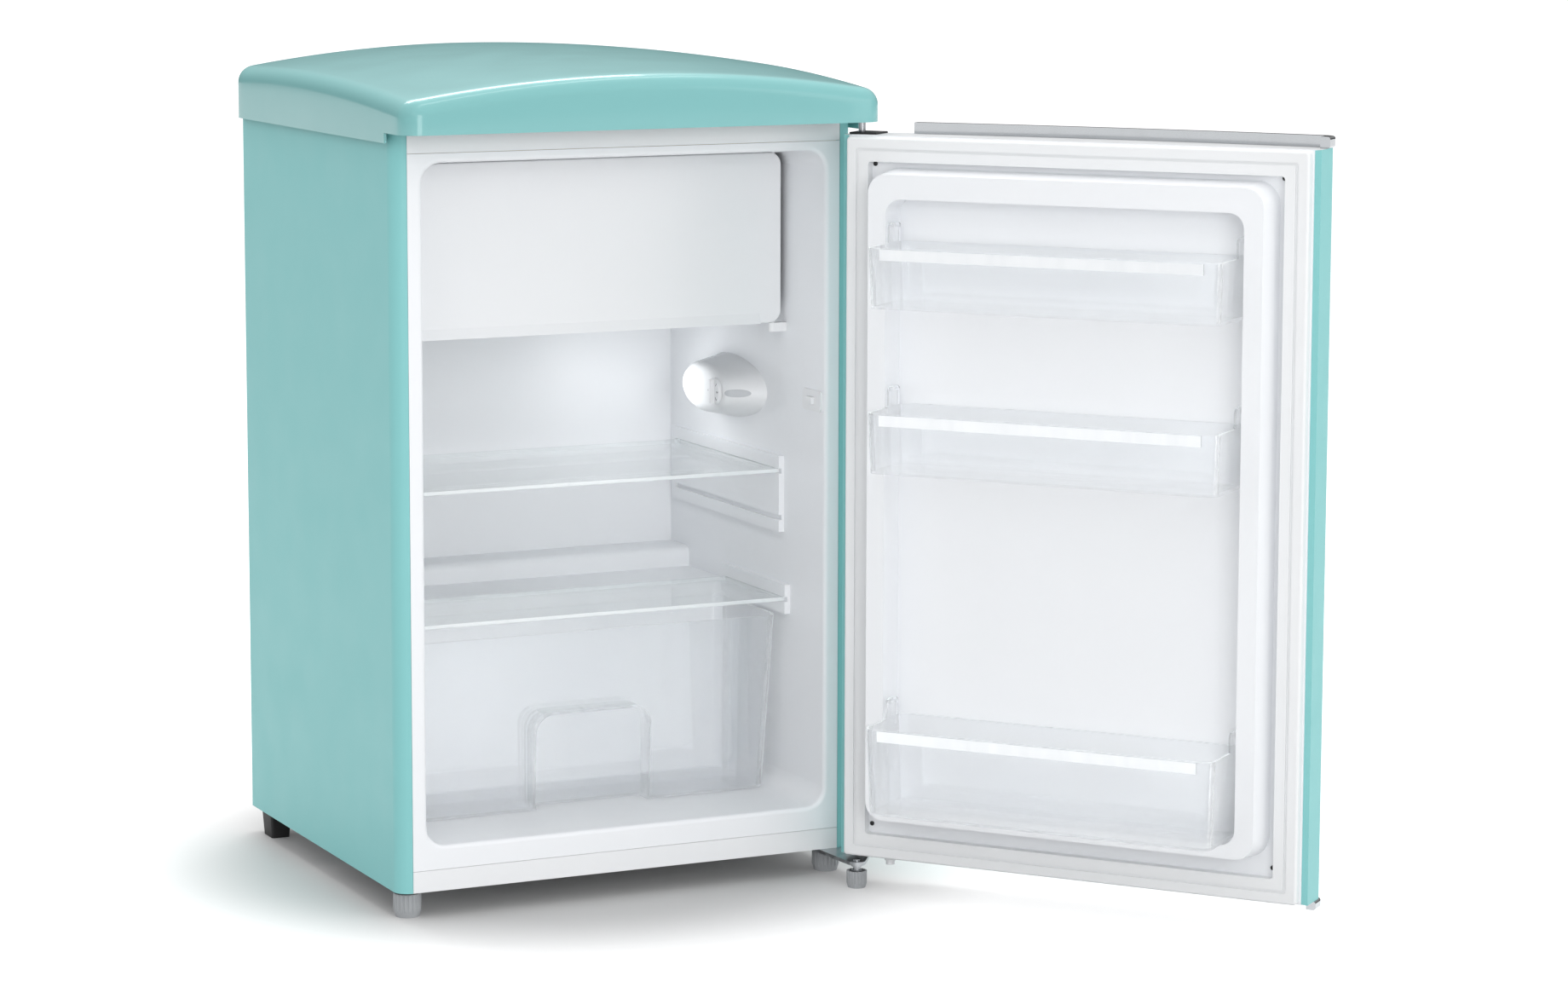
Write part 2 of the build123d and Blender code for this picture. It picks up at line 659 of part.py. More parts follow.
def freezer_flap():
    """The freezer's white flap: a shallow tray with a gripping lip and two pivot pins."""
    half = CAVITY_HALF - FLAP_SIDE_GAP
    y0 = FRONT + FLAP_SETBACK
    z0 = FREEZER_BOTTOM - FLAP_OVERLAP
    z1 = FREEZER_TOP + FLAP_OVERLAP
    flap = front_prism(half, z0, z1, FLAP_CORNER, y0, y0 + FLAP_THICKNESS)
    flap = fillet(flap.faces().sort_by(Axis.Y)[0].edges(), FLAP_WALL)
    hollow = front_prism(half - FLAP_CORNER, z0 + FLAP_CORNER, z1 - FLAP_CORNER, FLAP_CORNER / 2,
                         y0 + FLAP_WALL, y0 + FLAP_THICKNESS + 1)
    lip_points = [(y0 + FLAP_WALL, z0), (y0 - FLAP_LIP_PROUD, z0), (y0 + FLAP_WALL, z0 + FLAP_LIP_HEIGHT)]
    lip = side_profile(lip_points, -half + FLAP_CORNER, half - 2 * FLAP_CORNER)
    pins = flap_pin(z1 - 1, z1 + FLAP_PIN_LENGTH, FLAP_PIN_RADIUS)
    pins += flap_pin(z0 - FLAP_PIN_LENGTH, z0 + 1, FLAP_PIN_RADIUS)
    return flap - hollow + lip + pins


def pivot_brackets(inner):
    """The two white brackets on the right wall that hold the flap's pins."""
    z0 = FREEZER_BOTTOM - FLAP_OVERLAP - SEAT_GAP
    z1 = FREEZER_TOP + FLAP_OVERLAP + SEAT_GAP
    brackets = []
    for low, high in ((z0 - PIVOT_BLOCK - FLAP_PIN_LENGTH, z0), (z1, z1 + PIVOT_BLOCK + FLAP_PIN_LENGTH)):
        arm = block(FLAP_AXIS_X, HALF, FLAP_AXIS_Y - PIVOT_BLOCK, FLAP_AXIS_Y + PIVOT_BLOCK, low, high)
        arm += cylinder_z(FLAP_AXIS_X, FLAP_AXIS_Y, low, high, PIVOT_BLOCK)
        arm -= flap_pin(z0 - FLAP_PIN_LENGTH - 1, z0 + 1, FLAP_PIN_RADIUS + PIN_CLEARANCE)
        arm -= flap_pin(z1 - 1, z1 + FLAP_PIN_LENGTH + 1, FLAP_PIN_RADIUS + PIN_CLEARANCE)
        brackets.append((arm & inner).solid())
    return Compound(brackets)


def wall_x(y):
    """Where the right wall's inner face lies at a given depth."""
    return CAVITY_HALF - (y - FRONT) * DRAFT_RATE


def egg(scale, inset):
    """An egg outline whose blunt end points along +X, drawn in by an inset and then scaled."""
    blunt = (HOUSING_BLUNT_END - inset) * scale
    slim = (HOUSING_LENGTH - HOUSING_BLUNT_END - inset) * scale
    tall = (HOUSING_TALL / 2 - inset) * scale
    widest = (HOUSING_LENGTH / 2 - HOUSING_BLUNT_END) * scale
    points = []
    for step in range(EGG_POINTS):
        angle = radians(360.0 * step / EGG_POINTS)
        reach = blunt if cos(angle) > 0 else slim
        points.append((widest + reach * cos(angle), tall * sin(angle)))
    return make_face(Spline(*points, periodic=True))


def housing_body(inset):
    """The egg-shaped thermostat housing as a full body on the right wall."""
    base_x = CAVITY_HALF + LINER
    top_x = CAVITY_HALF - HOUSING_PROUD + inset
    base = Plane(origin=(base_x, HOUSING_Y, HOUSING_Z), x_dir=(0, 1, 0), z_dir=(-1, 0, 0))
    top = Plane(origin=(top_x, HOUSING_Y, HOUSING_Z), x_dir=(0, 1, 0), z_dir=(-1, 0, 0))
    body = loft([base * egg(1.0, inset), top * egg(HOUSING_TOP_SCALE, inset)])
    edge = body.faces().sort_by(Axis.X)[0].edges()
    return fillet(edge, HOUSING_ROUND - inset)


def lens_cut():
    """The part of the housing, at its deep end, that is the lamp's lens."""
    y0 = HOUSING_Y + HOUSING_LENGTH / 2 - LENS_LENGTH
    return block(0, HALF, y0, y0 + 2 * LENS_LENGTH, HOUSING_Z - HOUSING_TALL, HOUSING_Z + HOUSING_TALL)


def dial_centre():
    """The dial's place on the housing's inner face."""
    return CAVITY_HALF - HOUSING_PROUD, HOUSING_Y - DIAL_OFFSET, HOUSING_Z


def along_x(x0, x1, y, z, radius):
    """A cylinder lying along X."""
    return Pos((x0 + x1) / 2, y, z) * Rot(0, 90, 0) * Cylinder(radius, x1 - x0)


def thermostat_housing(inner):
    """The housing's opaque part, with the dial's seat and the lamp's space cut out."""
    x, y, z = dial_centre()
    body = (housing_body(0.0) & inner) - lens_cut()
    body -= along_x(x - 20, x + 1, y, z, DIAL_RADIUS + 2)
    body -= along_x(x, x + 1 + DIAL_SHAFT_LENGTH, y, z, DIAL_SHAFT_RADIUS + PIN_CLEARANCE)
    body -= cap_rod(PIN_CLEARANCE)
    return body


def lamp_lens(inner):
    """The clear lens over the lamp, a shell open to the wall."""
    shell = housing_body(0.0) - housing_body(LENS_WALL)
    return (shell & inner & lens_cut()).solid()


def lamp_bulb():
    """A small lamp inside the lens: glass bulb, neck and cap, turned about its own axis."""
    y0 = HOUSING_Y + HOUSING_LENGTH / 2 - LENS_LENGTH
    x = CAVITY_HALF - HOUSING_PROUD / 2
    profile = Polyline((0, 0), (6, 0), (6, 10), (7, 14))
    profile += ThreePointArc((7, 14), (11, 25), (2, 35))
    profile += Polyline((2, 35), (0, 35), (0, 0))
    bulb = revolve(make_face(profile), Axis.Y, 360)
    return Pos(x, y0, HOUSING_Z) * bulb


def cap_rod(grow):
    """The oval space of the cap over the housing's fixing screw."""
    y = HOUSING_Y - CAP_OFFSET
    plane = Plane(origin=(CAVITY_HALF - HOUSING_PROUD, y, HOUSING_Z), x_dir=(0, 1, 0), z_dir=(1, 0, 0))
    sketch = plane * Ellipse(CAP_LENGTH / 2 + grow, CAP_TALL / 2 + grow)
    return extrude(sketch, HOUSING_PROUD * 0.75 + grow)


def screw_cap():
    """The small oval cap over the housing's fixing screw, flush with the housing."""
    return (cap_rod(0.0) & housing_body(0.0)).solid()


def thermostat_dial():
    """The turning dial with a gripping bar and a shaft."""
    x, y, z = dial_centre()
    face_x = x + 1 - SEAT_GAP
    disc = along_x(face_x - DIAL_PROUD + DIAL_GRIP, face_x, y, z, DIAL_RADIUS)
    disc = fillet(disc.edges().group_by(Axis.X)[0], 1.0)
    grip = block(face_x - DIAL_PROUD, face_x - 1, y - 3, y + 3, z - DIAL_RADIUS + 2, z + DIAL_RADIUS - 2)
    grip = fillet(grip.edges().group_by(Axis.X)[0], 1.2)
    shaft = along_x(face_x - 1, face_x + DIAL_SHAFT_LENGTH, y, z, DIAL_SHAFT_RADIUS)
    return disc + grip + shaft


def switch_pocket(grow):
    """The hole through the liner and the foam that takes the switch's body."""
    length = SWITCH_LENGTH / 2 - SWITCH_BODY_MARGIN + grow
    tall = SWITCH_TALL / 2 - SWITCH_BODY_MARGIN + grow
    x = wall_x(SWITCH_Y)
    return block(x - 1, x + SWITCH_BODY_DEPTH + grow, SWITCH_Y - length, SWITCH_Y + length,
                 SWITCH_Z - tall, SWITCH_Z + tall)


def switch_plunger(grow):
    """The key the door presses, a small block sliding into the switch."""
    x0 = wall_x(SWITCH_Y) - SWITCH_BEZEL - PLUNGER_PROUD - grow
    x1 = x0 + PLUNGER_PROUD + SWITCH_BODY_DEPTH / 2 + 2 * grow
    key = block(x0, x1, SWITCH_Y - PLUNGER_LENGTH / 2 - grow, SWITCH_Y + PLUNGER_LENGTH / 2 + grow,
                SWITCH_Z - PLUNGER_TALL / 2 - grow, SWITCH_Z + PLUNGER_TALL / 2 + grow)
    return key


def switch_body(inner):
    """The switch: a slotted bezel on the wall and a body behind it, hollow for the key."""
    x = wall_x(SWITCH_Y)
    bezel = block(x - SWITCH_BEZEL, x + LINER, SWITCH_Y - SWITCH_LENGTH / 2, SWITCH_Y + SWITCH_LENGTH / 2,
                  SWITCH_Z - SWITCH_TALL / 2, SWITCH_Z + SWITCH_TALL / 2)
    bezel = fillet(bezel.edges().filter_by(Axis.X), 4) & inner
    body = bezel + switch_pocket(0.0)
    run = PLUNGER_TRAVEL + 2
    body -= switch_plunger(PLUNGER_GAP)
    body -= Pos(run, 0, 0) * switch_plunger(PLUNGER_GAP)
    return body.solid()


# Door


def door_plan(grow):
    """The door's bowed plan outline, grown sideways and forwards."""
    half = HALF + grow
    corner = DOOR_EDGE_ROUND + grow
    y_in = DOOR_INNER_Y - LINER
    y_edge = FRONT - DOOR_EDGE - grow
    y_bow = y_edge - DOOR_BOW
    line = Polyline((half, y_edge), (half, y_in), (-half, y_in), (-half, y_edge))
    line += ThreePointArc((-half, y_edge), (0, y_bow), (half, y_edge))
    plan = make_face(line)
    return fillet(plan.vertices().group_by(Axis.Y)[0], corner)


def door_solid(grow, z0, z1):
    """The door's full body between two heights."""
    return Pos(0, 0, z0) * extrude(door_plan(grow), z1 - z0)


def bush_block(top, grow):
    """The space of one hinge bush at the top or bottom of the door."""
    x1 = HALF - SHEET - BUSH_SKIN_GAP
    x0 = x1 - BUSH_LENGTH
    y0 = HINGE_Y - BUSH_WIDTH / 2
    y1 = HINGE_Y + BUSH_WIDTH / 2
    if top:
        z0, z1 = DOOR_TOP - BUSH_DEPTH, DOOR_TOP + BUSH_PROUD
    else:
        z0, z1 = DOOR_BOTTOM - BUSH_PROUD, DOOR_BOTTOM + BUSH_DEPTH
    return block(x0 - grow, x1 + grow, y0 - grow, y1 + grow, z0 - grow, z1 + grow)


def door_bush(top):
    """A black plastic bush with a blind bore for the hinge pin."""
    bush = bush_block(top, 0.0)
    radius = (UPPER_PIN_RADIUS if top else LOWER_PIN_RADIUS) + PIN_CLEARANCE
    edge = DOOR_TOP + BUSH_PROUD if top else DOOR_BOTTOM - BUSH_PROUD
    depth = PIN_ENGAGEMENT + 1
    if top:
        return bush - cylinder_z(HINGE_X, HINGE_Y, edge - depth, edge + 1, radius)
    return bush - cylinder_z(HINGE_X, HINGE_Y, edge - 1, edge + depth, radius)


def panel_returns():
    """The folds along the outer panel's upright edges that turn in behind the liner."""
    y1 = DOOR_INNER_Y - LINER
    fold = block(HALF - FLANGE_INSET - FOLD_LAP, HALF, y1 - SHEET, y1, DOOR_BOTTOM, DOOR_TOP)
    return both_sides(fold)


def door_outer_panel():
    """The painted steel outside of the door, a pan open towards the cabinet."""
    pan = door_solid(0.0, DOOR_BOTTOM, DOOR_TOP)
    pan -= door_solid(-SHEET, DOOR_BOTTOM + SHEET, DOOR_TOP - SHEET)
    for fold in panel_returns():
        pan += fold
    for top in (True, False):
        pan -= bush_block(top, BUSH_GAP)
    return pan


def dyke(inset):
    """The raised rim round the door liner's recess, drawn in by the wall thickness."""
    y0 = DOOR_INNER_Y - LINER
    y1 = DOOR_INNER_Y + DYKE_PROUD - inset
    z0 = CAVITY_FLOOR + DYKE_FLOOR_GAP
    z1 = CAVITY_CEILING - DYKE_TOP_GAP
    rim = front_prism(DYKE_HALF - inset, z0 + inset, z1 - inset, DYKE_CORNER - inset, y0, y1, DYKE_DRAFT)
    inner_half = DYKE_HALF - DYKE_WIDTH + inset
    recess = front_prism(inner_half, z0 + DYKE_FLOOR_WIDTH - inset, z1 - DYKE_TOP_WIDTH + inset,
                         RECESS_CORNER, y0 - 1, y1 + 1)
    return rim - recess


def rack_levels():
    """The three racks as (name, bottom, height)."""
    return [("upper", UPPER_RACK_BOTTOM, SHALLOW_RACK_HEIGHT),
            ("middle", MIDDLE_RACK_BOTTOM, SHALLOW_RACK_HEIGHT),
            ("lower", LOWER_RACK_BOTTOM, DEEP_RACK_HEIGHT)]


def hook_seat(bottom, height):
    """The height at which a rack's hooks rest on the door liner's bosses."""
    return bottom + height + EAR_RISE - HOOK_TALL


def door_liner():
    """The white inside of the door with its raised rim and the rack bosses."""
    half = HALF - FLANGE_INSET
    z0 = DOOR_BOTTOM + FLANGE_END_INSET
    z1 = DOOR_TOP - FLANGE_END_INSET
    plate = block(-half, half, DOOR_INNER_Y - LINER, DOOR_INNER_Y, z0, z1)
    liner = plate + dyke(0.0) - dyke(LINER)
    inner_half = DYKE_HALF - DYKE_WIDTH
    for _, bottom, height in rack_levels():
        seat = hook_seat(bottom, height)
        boss = block(inner_half - BOSS_PROUD, inner_half + LINER / 2, DOOR_INNER_Y + 6,
                     DOOR_INNER_Y + 6 + BOSS_LENGTH, seat - BOSS_TALL, seat - SEAT_GAP)
        boss = fillet(boss.edges().filter_by(Axis.Z).group_by(Axis.X)[0], 2)
        for piece in both_sides(boss):
            liner += piece
    return liner


def door_insulation():
    """The foam inside the door."""
    foam = door_solid(-SHEET, DOOR_BOTTOM + SHEET, DOOR_TOP - SHEET)
    foam -= block(-HALF, HALF, DOOR_INNER_Y - LINER, FRONT, 0, CABINET_TOP)
    for top in (True, False):
        foam -= bush_block(top, 0.0)
    for fold in panel_returns():
        foam -= fold
    return foam


def door_gasket():
    """The magnetic seal round the door, a soft profile with a groove round its face."""
    y0, y1 = DOOR_INNER_Y, FRONT - GASKET_CRUSH
    half = HALF - GASKET_INSET
    z0 = DOOR_BOTTOM + FLANGE_END_INSET + 0.5
    z1 = DOOR_TOP - FLANGE_END_INSET - 0.5
    ring = front_prism(half, z0, z1, 4, y0, y1)
    ring = fillet(ring.faces().sort_by(Axis.Y)[-1].edges(), GASKET_ROUND)
    ring -= front_prism(half - GASKET_WIDTH, z0 + GASKET_WIDTH, z1 - GASKET_WIDTH, 4, y0 - 1, y1 + 1)
    inset = GASKET_WIDTH * 0.45
    groove = front_prism(half - inset, z0 + inset, z1 - inset, 3, y1 - GASKET_GROOVE, y1 + 1)
    groove -= front_prism(half - inset - 3, z0 + inset + 3, z1 - inset - 3, 2, y1 - GASKET_GROOVE - 1, y1 + 2)
    return ring - groove


def door_trim(z0, z1):
    """A bright moulding along the outer edge of the door that wraps its free side."""
    strip = door_solid(TRIM_PROUD, z0, z1)
    back_y = DOOR_INNER_Y - LINER
    rims = [e for e in strip.edges() if abs(e.tangent_at(0.5).Z) < 0.1 and e.center().Y < back_y - 0.1]
    strip = fillet(rims, TRIM_ROUND) - door_solid(TRIM_PROUD - TRIM_WIDTH, z0 - 1, z1 + 1)
    keep_y = back_y - TRIM_SETBACK
    far_y = FRONT - DOOR_EDGE - DOOR_BOW - 20
    keep = block(-HALF - TRIM_PROUD - 1, HALF - TRIM_HINGE_GAP, far_y, keep_y, z0 - 1, z1 + 1)
    return (strip & keep).solid()


def rack_tub(bottom, height, inset, floor):
    """A rack's outline as a full body that widens upwards."""
    y0 = DOOR_INNER_Y - LINER + RACK_BACK_GAP + inset
    y1 = DOOR_INNER_Y - LINER + RACK_BACK_GAP + RACK_DEPTH - inset
    half = RACK_HALF - inset
    narrow = height * tan(radians(RACK_DRAFT))
    corner = RACK_CORNER - inset
    z0, z1 = bottom + floor, bottom + height
    low = Pos(0, (y0 + y1 - narrow) / 2, z0) * RectangleRounded(2 * (half - narrow), y1 - y0 - narrow, corner)
    high = Pos(0, (y0 + y1) / 2, z1) * RectangleRounded(2 * half, y1 - y0, corner)
    return loft([low, high])


def door_rack(bottom, height):
    """A clear rack with a tapered tub, two ears and the hooks that hang on the bosses."""
    tub = rack_tub(bottom, height, 0.0, 0.0) - rack_tub(bottom, height, RACK_WALL, RACK_WALL)
    rim = bottom + height
    y0 = DOOR_INNER_Y - LINER + RACK_BACK_GAP + RACK_CORNER
    plane = Plane(origin=(RACK_HALF - RACK_WALL, y0 + EAR_LENGTH / 2, 0), x_dir=(0, 1, 0), z_dir=(1, 0, 0))
    tall = EAR_RISE + RACK_CORNER
    sketch = Pos(0, rim - RACK_CORNER + tall / 2) * RectangleRounded(EAR_LENGTH, tall, RACK_CORNER * 0.6)
    ear = extrude(plane * sketch, RACK_WALL)
    seat = hook_seat(bottom, height)
    reach = RACK_SIDE_GAP - 1.0
    hook = block(RACK_HALF - 1, RACK_HALF + reach, y0, y0 + EAR_LENGTH * 0.6, seat, seat + HOOK_TALL - 1)
    rack = tub
    for piece in both_sides(ear) + both_sides(hook):
        rack += piece
    return rack


def rack_strip(bottom, height):
    """The metal strip along the top of a rack's front wall."""
    skin = rack_tub(bottom, height, -STRIP_SHEET, 0.0) - rack_tub(bottom, height, 0.0, -1.0)
    half = RACK_HALF - RACK_CORNER - STRIP_END_GAP
    rim = bottom + height
    band = block(-half, half, FRONT, FRONT + RACK_DEPTH * 2, rim - STRIP_HEIGHT, rim - 1)
    return (skin & band).solid()


def door_handle():
    """A chunky bright grip on the free side of the door, bowed away from it."""
    x = -HALF + HANDLE_EDGE_GAP + HANDLE_WIDTH / 2
    y_face = FRONT - DOOR_EDGE + 6
    y_far = FRONT - DOOR_EDGE - HANDLE_REACH
    z0, z1 = HANDLE_BOTTOM, HANDLE_BOTTOM + HANDLE_HEIGHT
    middle = (z0 + z1) / 2
    line = ThreePointArc((y_face, z0), (y_far, middle), (y_face, z1))
    line += Line((y_face, z1), (y_face, z1 - HANDLE_POST))
    y_inside = y_far + HANDLE_THICKNESS
    line += ThreePointArc((y_face, z1 - HANDLE_POST), (y_inside, middle), (y_face, z0 + HANDLE_POST))
    line += Line((y_face, z0 + HANDLE_POST), (y_face, z0))
    plane = Plane(origin=(x - HANDLE_WIDTH / 2, 0, 0), x_dir=(0, 1, 0), z_dir=(1, 0, 0))
    grip = extrude(plane * make_face(line), HANDLE_WIDTH)
    long_edges = [e for e in grip.edges() if e.length > HANDLE_HEIGHT * 0.5]
    grip = fillet(long_edges, HANDLE_ROUND)
    return grip - door_solid(0.0, DOOR_BOTTOM, DOOR_TOP)


def door_stop():
    """The small stepped peg under the door near the hinge."""
    x = HINGE_X - STOP_INSET + HINGE_INSET
    y = DOOR_INNER_Y - STOP_BACK
    peg = cylinder_z(x, y, DOOR_BOTTOM - STOP_HEIGHT, DOOR_BOTTOM, STOP_RADIUS * 0.75)
    return peg + cylinder_z(x, y, DOOR_BOTTOM - STOP_HEIGHT * 0.45, DOOR_BOTTOM, STOP_RADIUS)


# Hinges and feet


def eye_plate(circles, z0, z1):
    """A flat plate whose outline wraps a set of (x, y, radius) circles."""
    edges = []
    for x, y, radius in circles:
        edges += (Pos(x, y) * Circle(radius)).edges()
    return Pos(0, 0, z0) * extrude(make_hull(edges), z1 - z0)


def bracket_screws(setback):
    """Where the screws of a hinge bracket stand."""
    return [(HINGE_X - INNER_SCREW_OFFSET, FRONT + setback), (HINGE_X - OUTER_SCREW_OFFSET, FRONT + setback)]


def upper_hinge_bracket():
    """The flat bracket on the cabinet's top that carries the upper pin."""
    screws = bracket_screws(UPPER_SCREW_SETBACK)
    circles = [(HINGE_X, HINGE_Y, HINGE_EYE_RADIUS)] + [(x, y, SCREW_EYE_RADIUS) for x, y in screws]
    z0 = CABINET_TOP
    plate = eye_plate(circles, z0, z0 + HINGE_PLATE)
    plate -= cylinder_z(HINGE_X, HINGE_Y, z0 - 1, z0 + HINGE_PLATE + 1, UPPER_PIN_RADIUS)
    for x, y in screws:
        plate -= cylinder_z(x, y, z0 - 1, z0 + HINGE_PLATE + 1, SCREW_RADIUS)
    return plate


def upper_hinge_pin():
    """The pin riveted into the upper bracket, pointing down into the door."""
    tip = DOOR_TOP + BUSH_PROUD - PIN_ENGAGEMENT
    pin = cylinder_z(HINGE_X, HINGE_Y, tip, CABINET_TOP + HINGE_PLATE, UPPER_PIN_RADIUS)
    head = cylinder_z(HINGE_X, HINGE_Y, CABINET_TOP + HINGE_PLATE, CABINET_TOP + HINGE_PLATE + 2,
                      UPPER_PIN_RADIUS + 3)
    return chamfer(pin.edges().group_by(Axis.Z)[0], 1) + head


def lower_hinge_bracket():
    """The strong bracket under the cabinet that carries the lower pin and the hinge foot."""
    circles = [(HINGE_X, HINGE_Y, HINGE_EYE_RADIUS)]
    circles.append((HINGE_FOOT_X, FRONT - HINGE_FOOT_FORWARD, FOOT_EYE_RADIUS))
    screws = bracket_screws(LOWER_SCREW_SETBACK)
    circles += [(x, y, SCREW_EYE_RADIUS) for x, y in screws]
    z1 = CABINET_BOTTOM
    z0 = z1 - HINGE_PLATE
    plate = eye_plate(circles, z0, z1)
    plate -= cylinder_z(HINGE_X, HINGE_Y, z0 - 1, z1 + 1, LOWER_PIN_RADIUS)
    plate -= cylinder_z(HINGE_FOOT_X, FRONT - HINGE_FOOT_FORWARD, z0 - 1, z1 + 1, STUD_RADIUS + STUD_CLEARANCE)
    plate -= cylinder_z(HALF - FOOT_INSET, FRONT + FOOT_SETBACK, z0 - 1, z1 + 1, FRONT_FOOT_RADIUS + 2)
    for x, y in screws:
        plate -= cylinder_z(x, y, z0 - 1, z1 + 1, SCREW_RADIUS)
    return plate


def lower_hinge_pin():
    """The pin on the lower bracket, with the collar the door rides on."""
    z0 = CABINET_BOTTOM - HINGE_PLATE
    tip = DOOR_BOTTOM - BUSH_PROUD + PIN_ENGAGEMENT
    pin = cylinder_z(HINGE_X, HINGE_Y, z0, tip, LOWER_PIN_RADIUS)
    pin = chamfer(pin.edges().group_by(Axis.Z)[-1], 1)
    collar_top = DOOR_BOTTOM - BUSH_PROUD - SEAT_GAP
    collar = cylinder_z(HINGE_X, HINGE_Y, CABINET_BOTTOM, collar_top, LOWER_PIN_RADIUS + 3)
    return pin + collar


def screw(x, y, seat, up):
    """A plain-headed screw; up is +1 with its head above the seat, -1 with it below."""
    head_z = sorted((seat, seat + up * SCREW_HEAD))
    shank_z = sorted((seat, seat - up * SCREW_LENGTH))
    head = cylinder_z(x, y, head_z[0], head_z[1], SCREW_HEAD_RADIUS)
    return head + cylinder_z(x, y, shank_z[0], shank_z[1], SCREW_RADIUS)


def hinge_screws():
    """The screws of both hinge brackets, cut to the thickness of the plates they hold."""
    screws = []
    for x, y in bracket_screws(UPPER_SCREW_SETBACK):
        upper = screw(x, y, CABINET_TOP + HINGE_PLATE, 1)
        screws.append((upper & block(-HALF, HALF, FRONT, BACK, CABINET_TOP, CABINET_TOP + 50)).solid())
    for x, y in bracket_screws(LOWER_SCREW_SETBACK):
        lower = screw(x, y, CABINET_BOTTOM - HINGE_PLATE, -1)
        screws.append((lower & block(-HALF, HALF, FRONT, BACK, 0, CABINET_BOTTOM)).solid())
    return Compound(screws)


def ribbed_foot(x, y, radius, height):
    """A levelling foot's moulded cap with a ribbed grip and a tapered sole."""
    sole = radius * 0.86
    profile = Polyline((0, 0), (sole, 0), (radius, height * 0.3), (radius, height), (0, height), (0, 0))
    plane = Plane(origin=(x, y, 0), x_dir=(1, 0, 0), z_dir=(0, -1, 0))
    cap = revolve(plane * make_face(profile), Axis((x, y, 0), (0, 0, 1)), 360)
    groove = radius * 3.14159 / FOOT_RIBS * 0.5
    for step in range(FOOT_RIBS):
        angle = 360.0 * step / FOOT_RIBS
        place = Pos(x, y, 0) * Rot(0, 0, angle) * Pos(radius + groove - FOOT_RIB_DEPTH, 0, height * 0.5)
        cap -= place * Cylinder(groove, height * 2)
    return cap


def front_foot(side):
    """One front levelling foot."""
    x = side * (HALF - FOOT_INSET)
    y = FRONT + FOOT_SETBACK
    cap = ribbed_foot(x, y, FRONT_FOOT_RADIUS, FRONT_FOOT_HEIGHT)
    return cap - cylinder_z(x, y, FRONT_FOOT_HEIGHT * 0.4, FRONT_FOOT_HEIGHT + 1, STUD_RADIUS)


def front_stud(side):
    """The screw of a front foot, from the cap up into the base nut."""
    x = side * (HALF - FOOT_INSET)
    y = FRONT + FOOT_SETBACK
    return cylinder_z(x, y, FRONT_FOOT_HEIGHT * 0.4, CABINET_BOTTOM + SHEET + STUD_REACH, STUD_RADIUS)


def foot_nuts():
    """The threaded inserts in the base that the front feet screw into."""
    nuts = []
    for side in (-1, 1):
        x, y = side * (HALF - FOOT_INSET), FRONT + FOOT_SETBACK
        z0 = CABINET_BOTTOM + SHEET
        z1 = z0 + STUD_REACH + 2
        nut = cylinder_z(x, y, z0, z1, NUT_RADIUS)
        nuts.append(nut - cylinder_z(x, y, z0 - 1, z0 + STUD_REACH + 1, STUD_RADIUS + STUD_CLEARANCE))
    return Compound(nuts)


def hinge_foot():
    """The smaller foot under the hinge bracket, with a recess round its lock nut."""
    x, y = HINGE_FOOT_X, FRONT - HINGE_FOOT_FORWARD
    cap = ribbed_foot(x, y, HINGE_FOOT_RADIUS, HINGE_FOOT_HEIGHT)
    cap -= cylinder_z(x, y, HINGE_FOOT_HEIGHT * 0.7, HINGE_FOOT_HEIGHT + 1, HINGE_FOOT_RADIUS - 2.5)
    return cap - cylinder_z(x, y, HINGE_FOOT_HEIGHT * 0.3, HINGE_FOOT_HEIGHT, STUD_RADIUS)


def hinge_stud():
    """The hinge foot's screw with its lock nut and washer."""
    x, y = HINGE_FOOT_X, FRONT - HINGE_FOOT_FORWARD
    stud = cylinder_z(x, y, HINGE_FOOT_HEIGHT * 0.3, CABINET_BOTTOM + 2, STUD_RADIUS)
    nut_z = HINGE_FOOT_HEIGHT * 0.7
    nut = Pos(x, y, nut_z) * extrude(RegularPolygon(STUD_RADIUS * 1.7, 6), HINGE_FOOT_HEIGHT * 0.35)
    washer_top = CABINET_BOTTOM - HINGE_PLATE - SEAT_GAP
    washer = cylinder_z(x, y, washer_top - 2, washer_top, STUD_RADIUS + 2)
    return stud + nut + washer


def rear_feet():
    """The two black fixed feet at the back corners."""
    feet = []
    for side in (-1, 1):
        x = side * (HALF - REAR_FOOT_WIDTH / 2 - 4)
        y = BACK - REAR_FOOT_SETBACK
        sole = RectangleRounded(REAR_FOOT_WIDTH - REAR_FOOT_TAPER, REAR_FOOT_LENGTH - REAR_FOOT_TAPER, 3)
        low = Pos(x, y, 0) * sole
        high = Pos(x, y, CABINET_BOTTOM) * RectangleRounded(REAR_FOOT_WIDTH, REAR_FOOT_LENGTH, 3)
        feet.append(loft([low, high]))
    return Compound(feet)


# Machine niche


def compressor_rail():
    """The steel rail across the niche that carries the compressor and the rear feet."""
    half = HALF - SHEET
    y1 = BACK - 2 * SHEET
    y0 = y1 - RAIL_DEPTH
    z0 = CABINET_BOTTOM
    rail = block(-half, half, y0, y1, z0, z0 + RAIL_HEIGHT)
    rail -= block(-half - 1, half + 1, y0 + RAIL_SHEET, y1 - RAIL_SHEET, z0 + RAIL_SHEET, z0 + RAIL_HEIGHT + 1)
    return rail


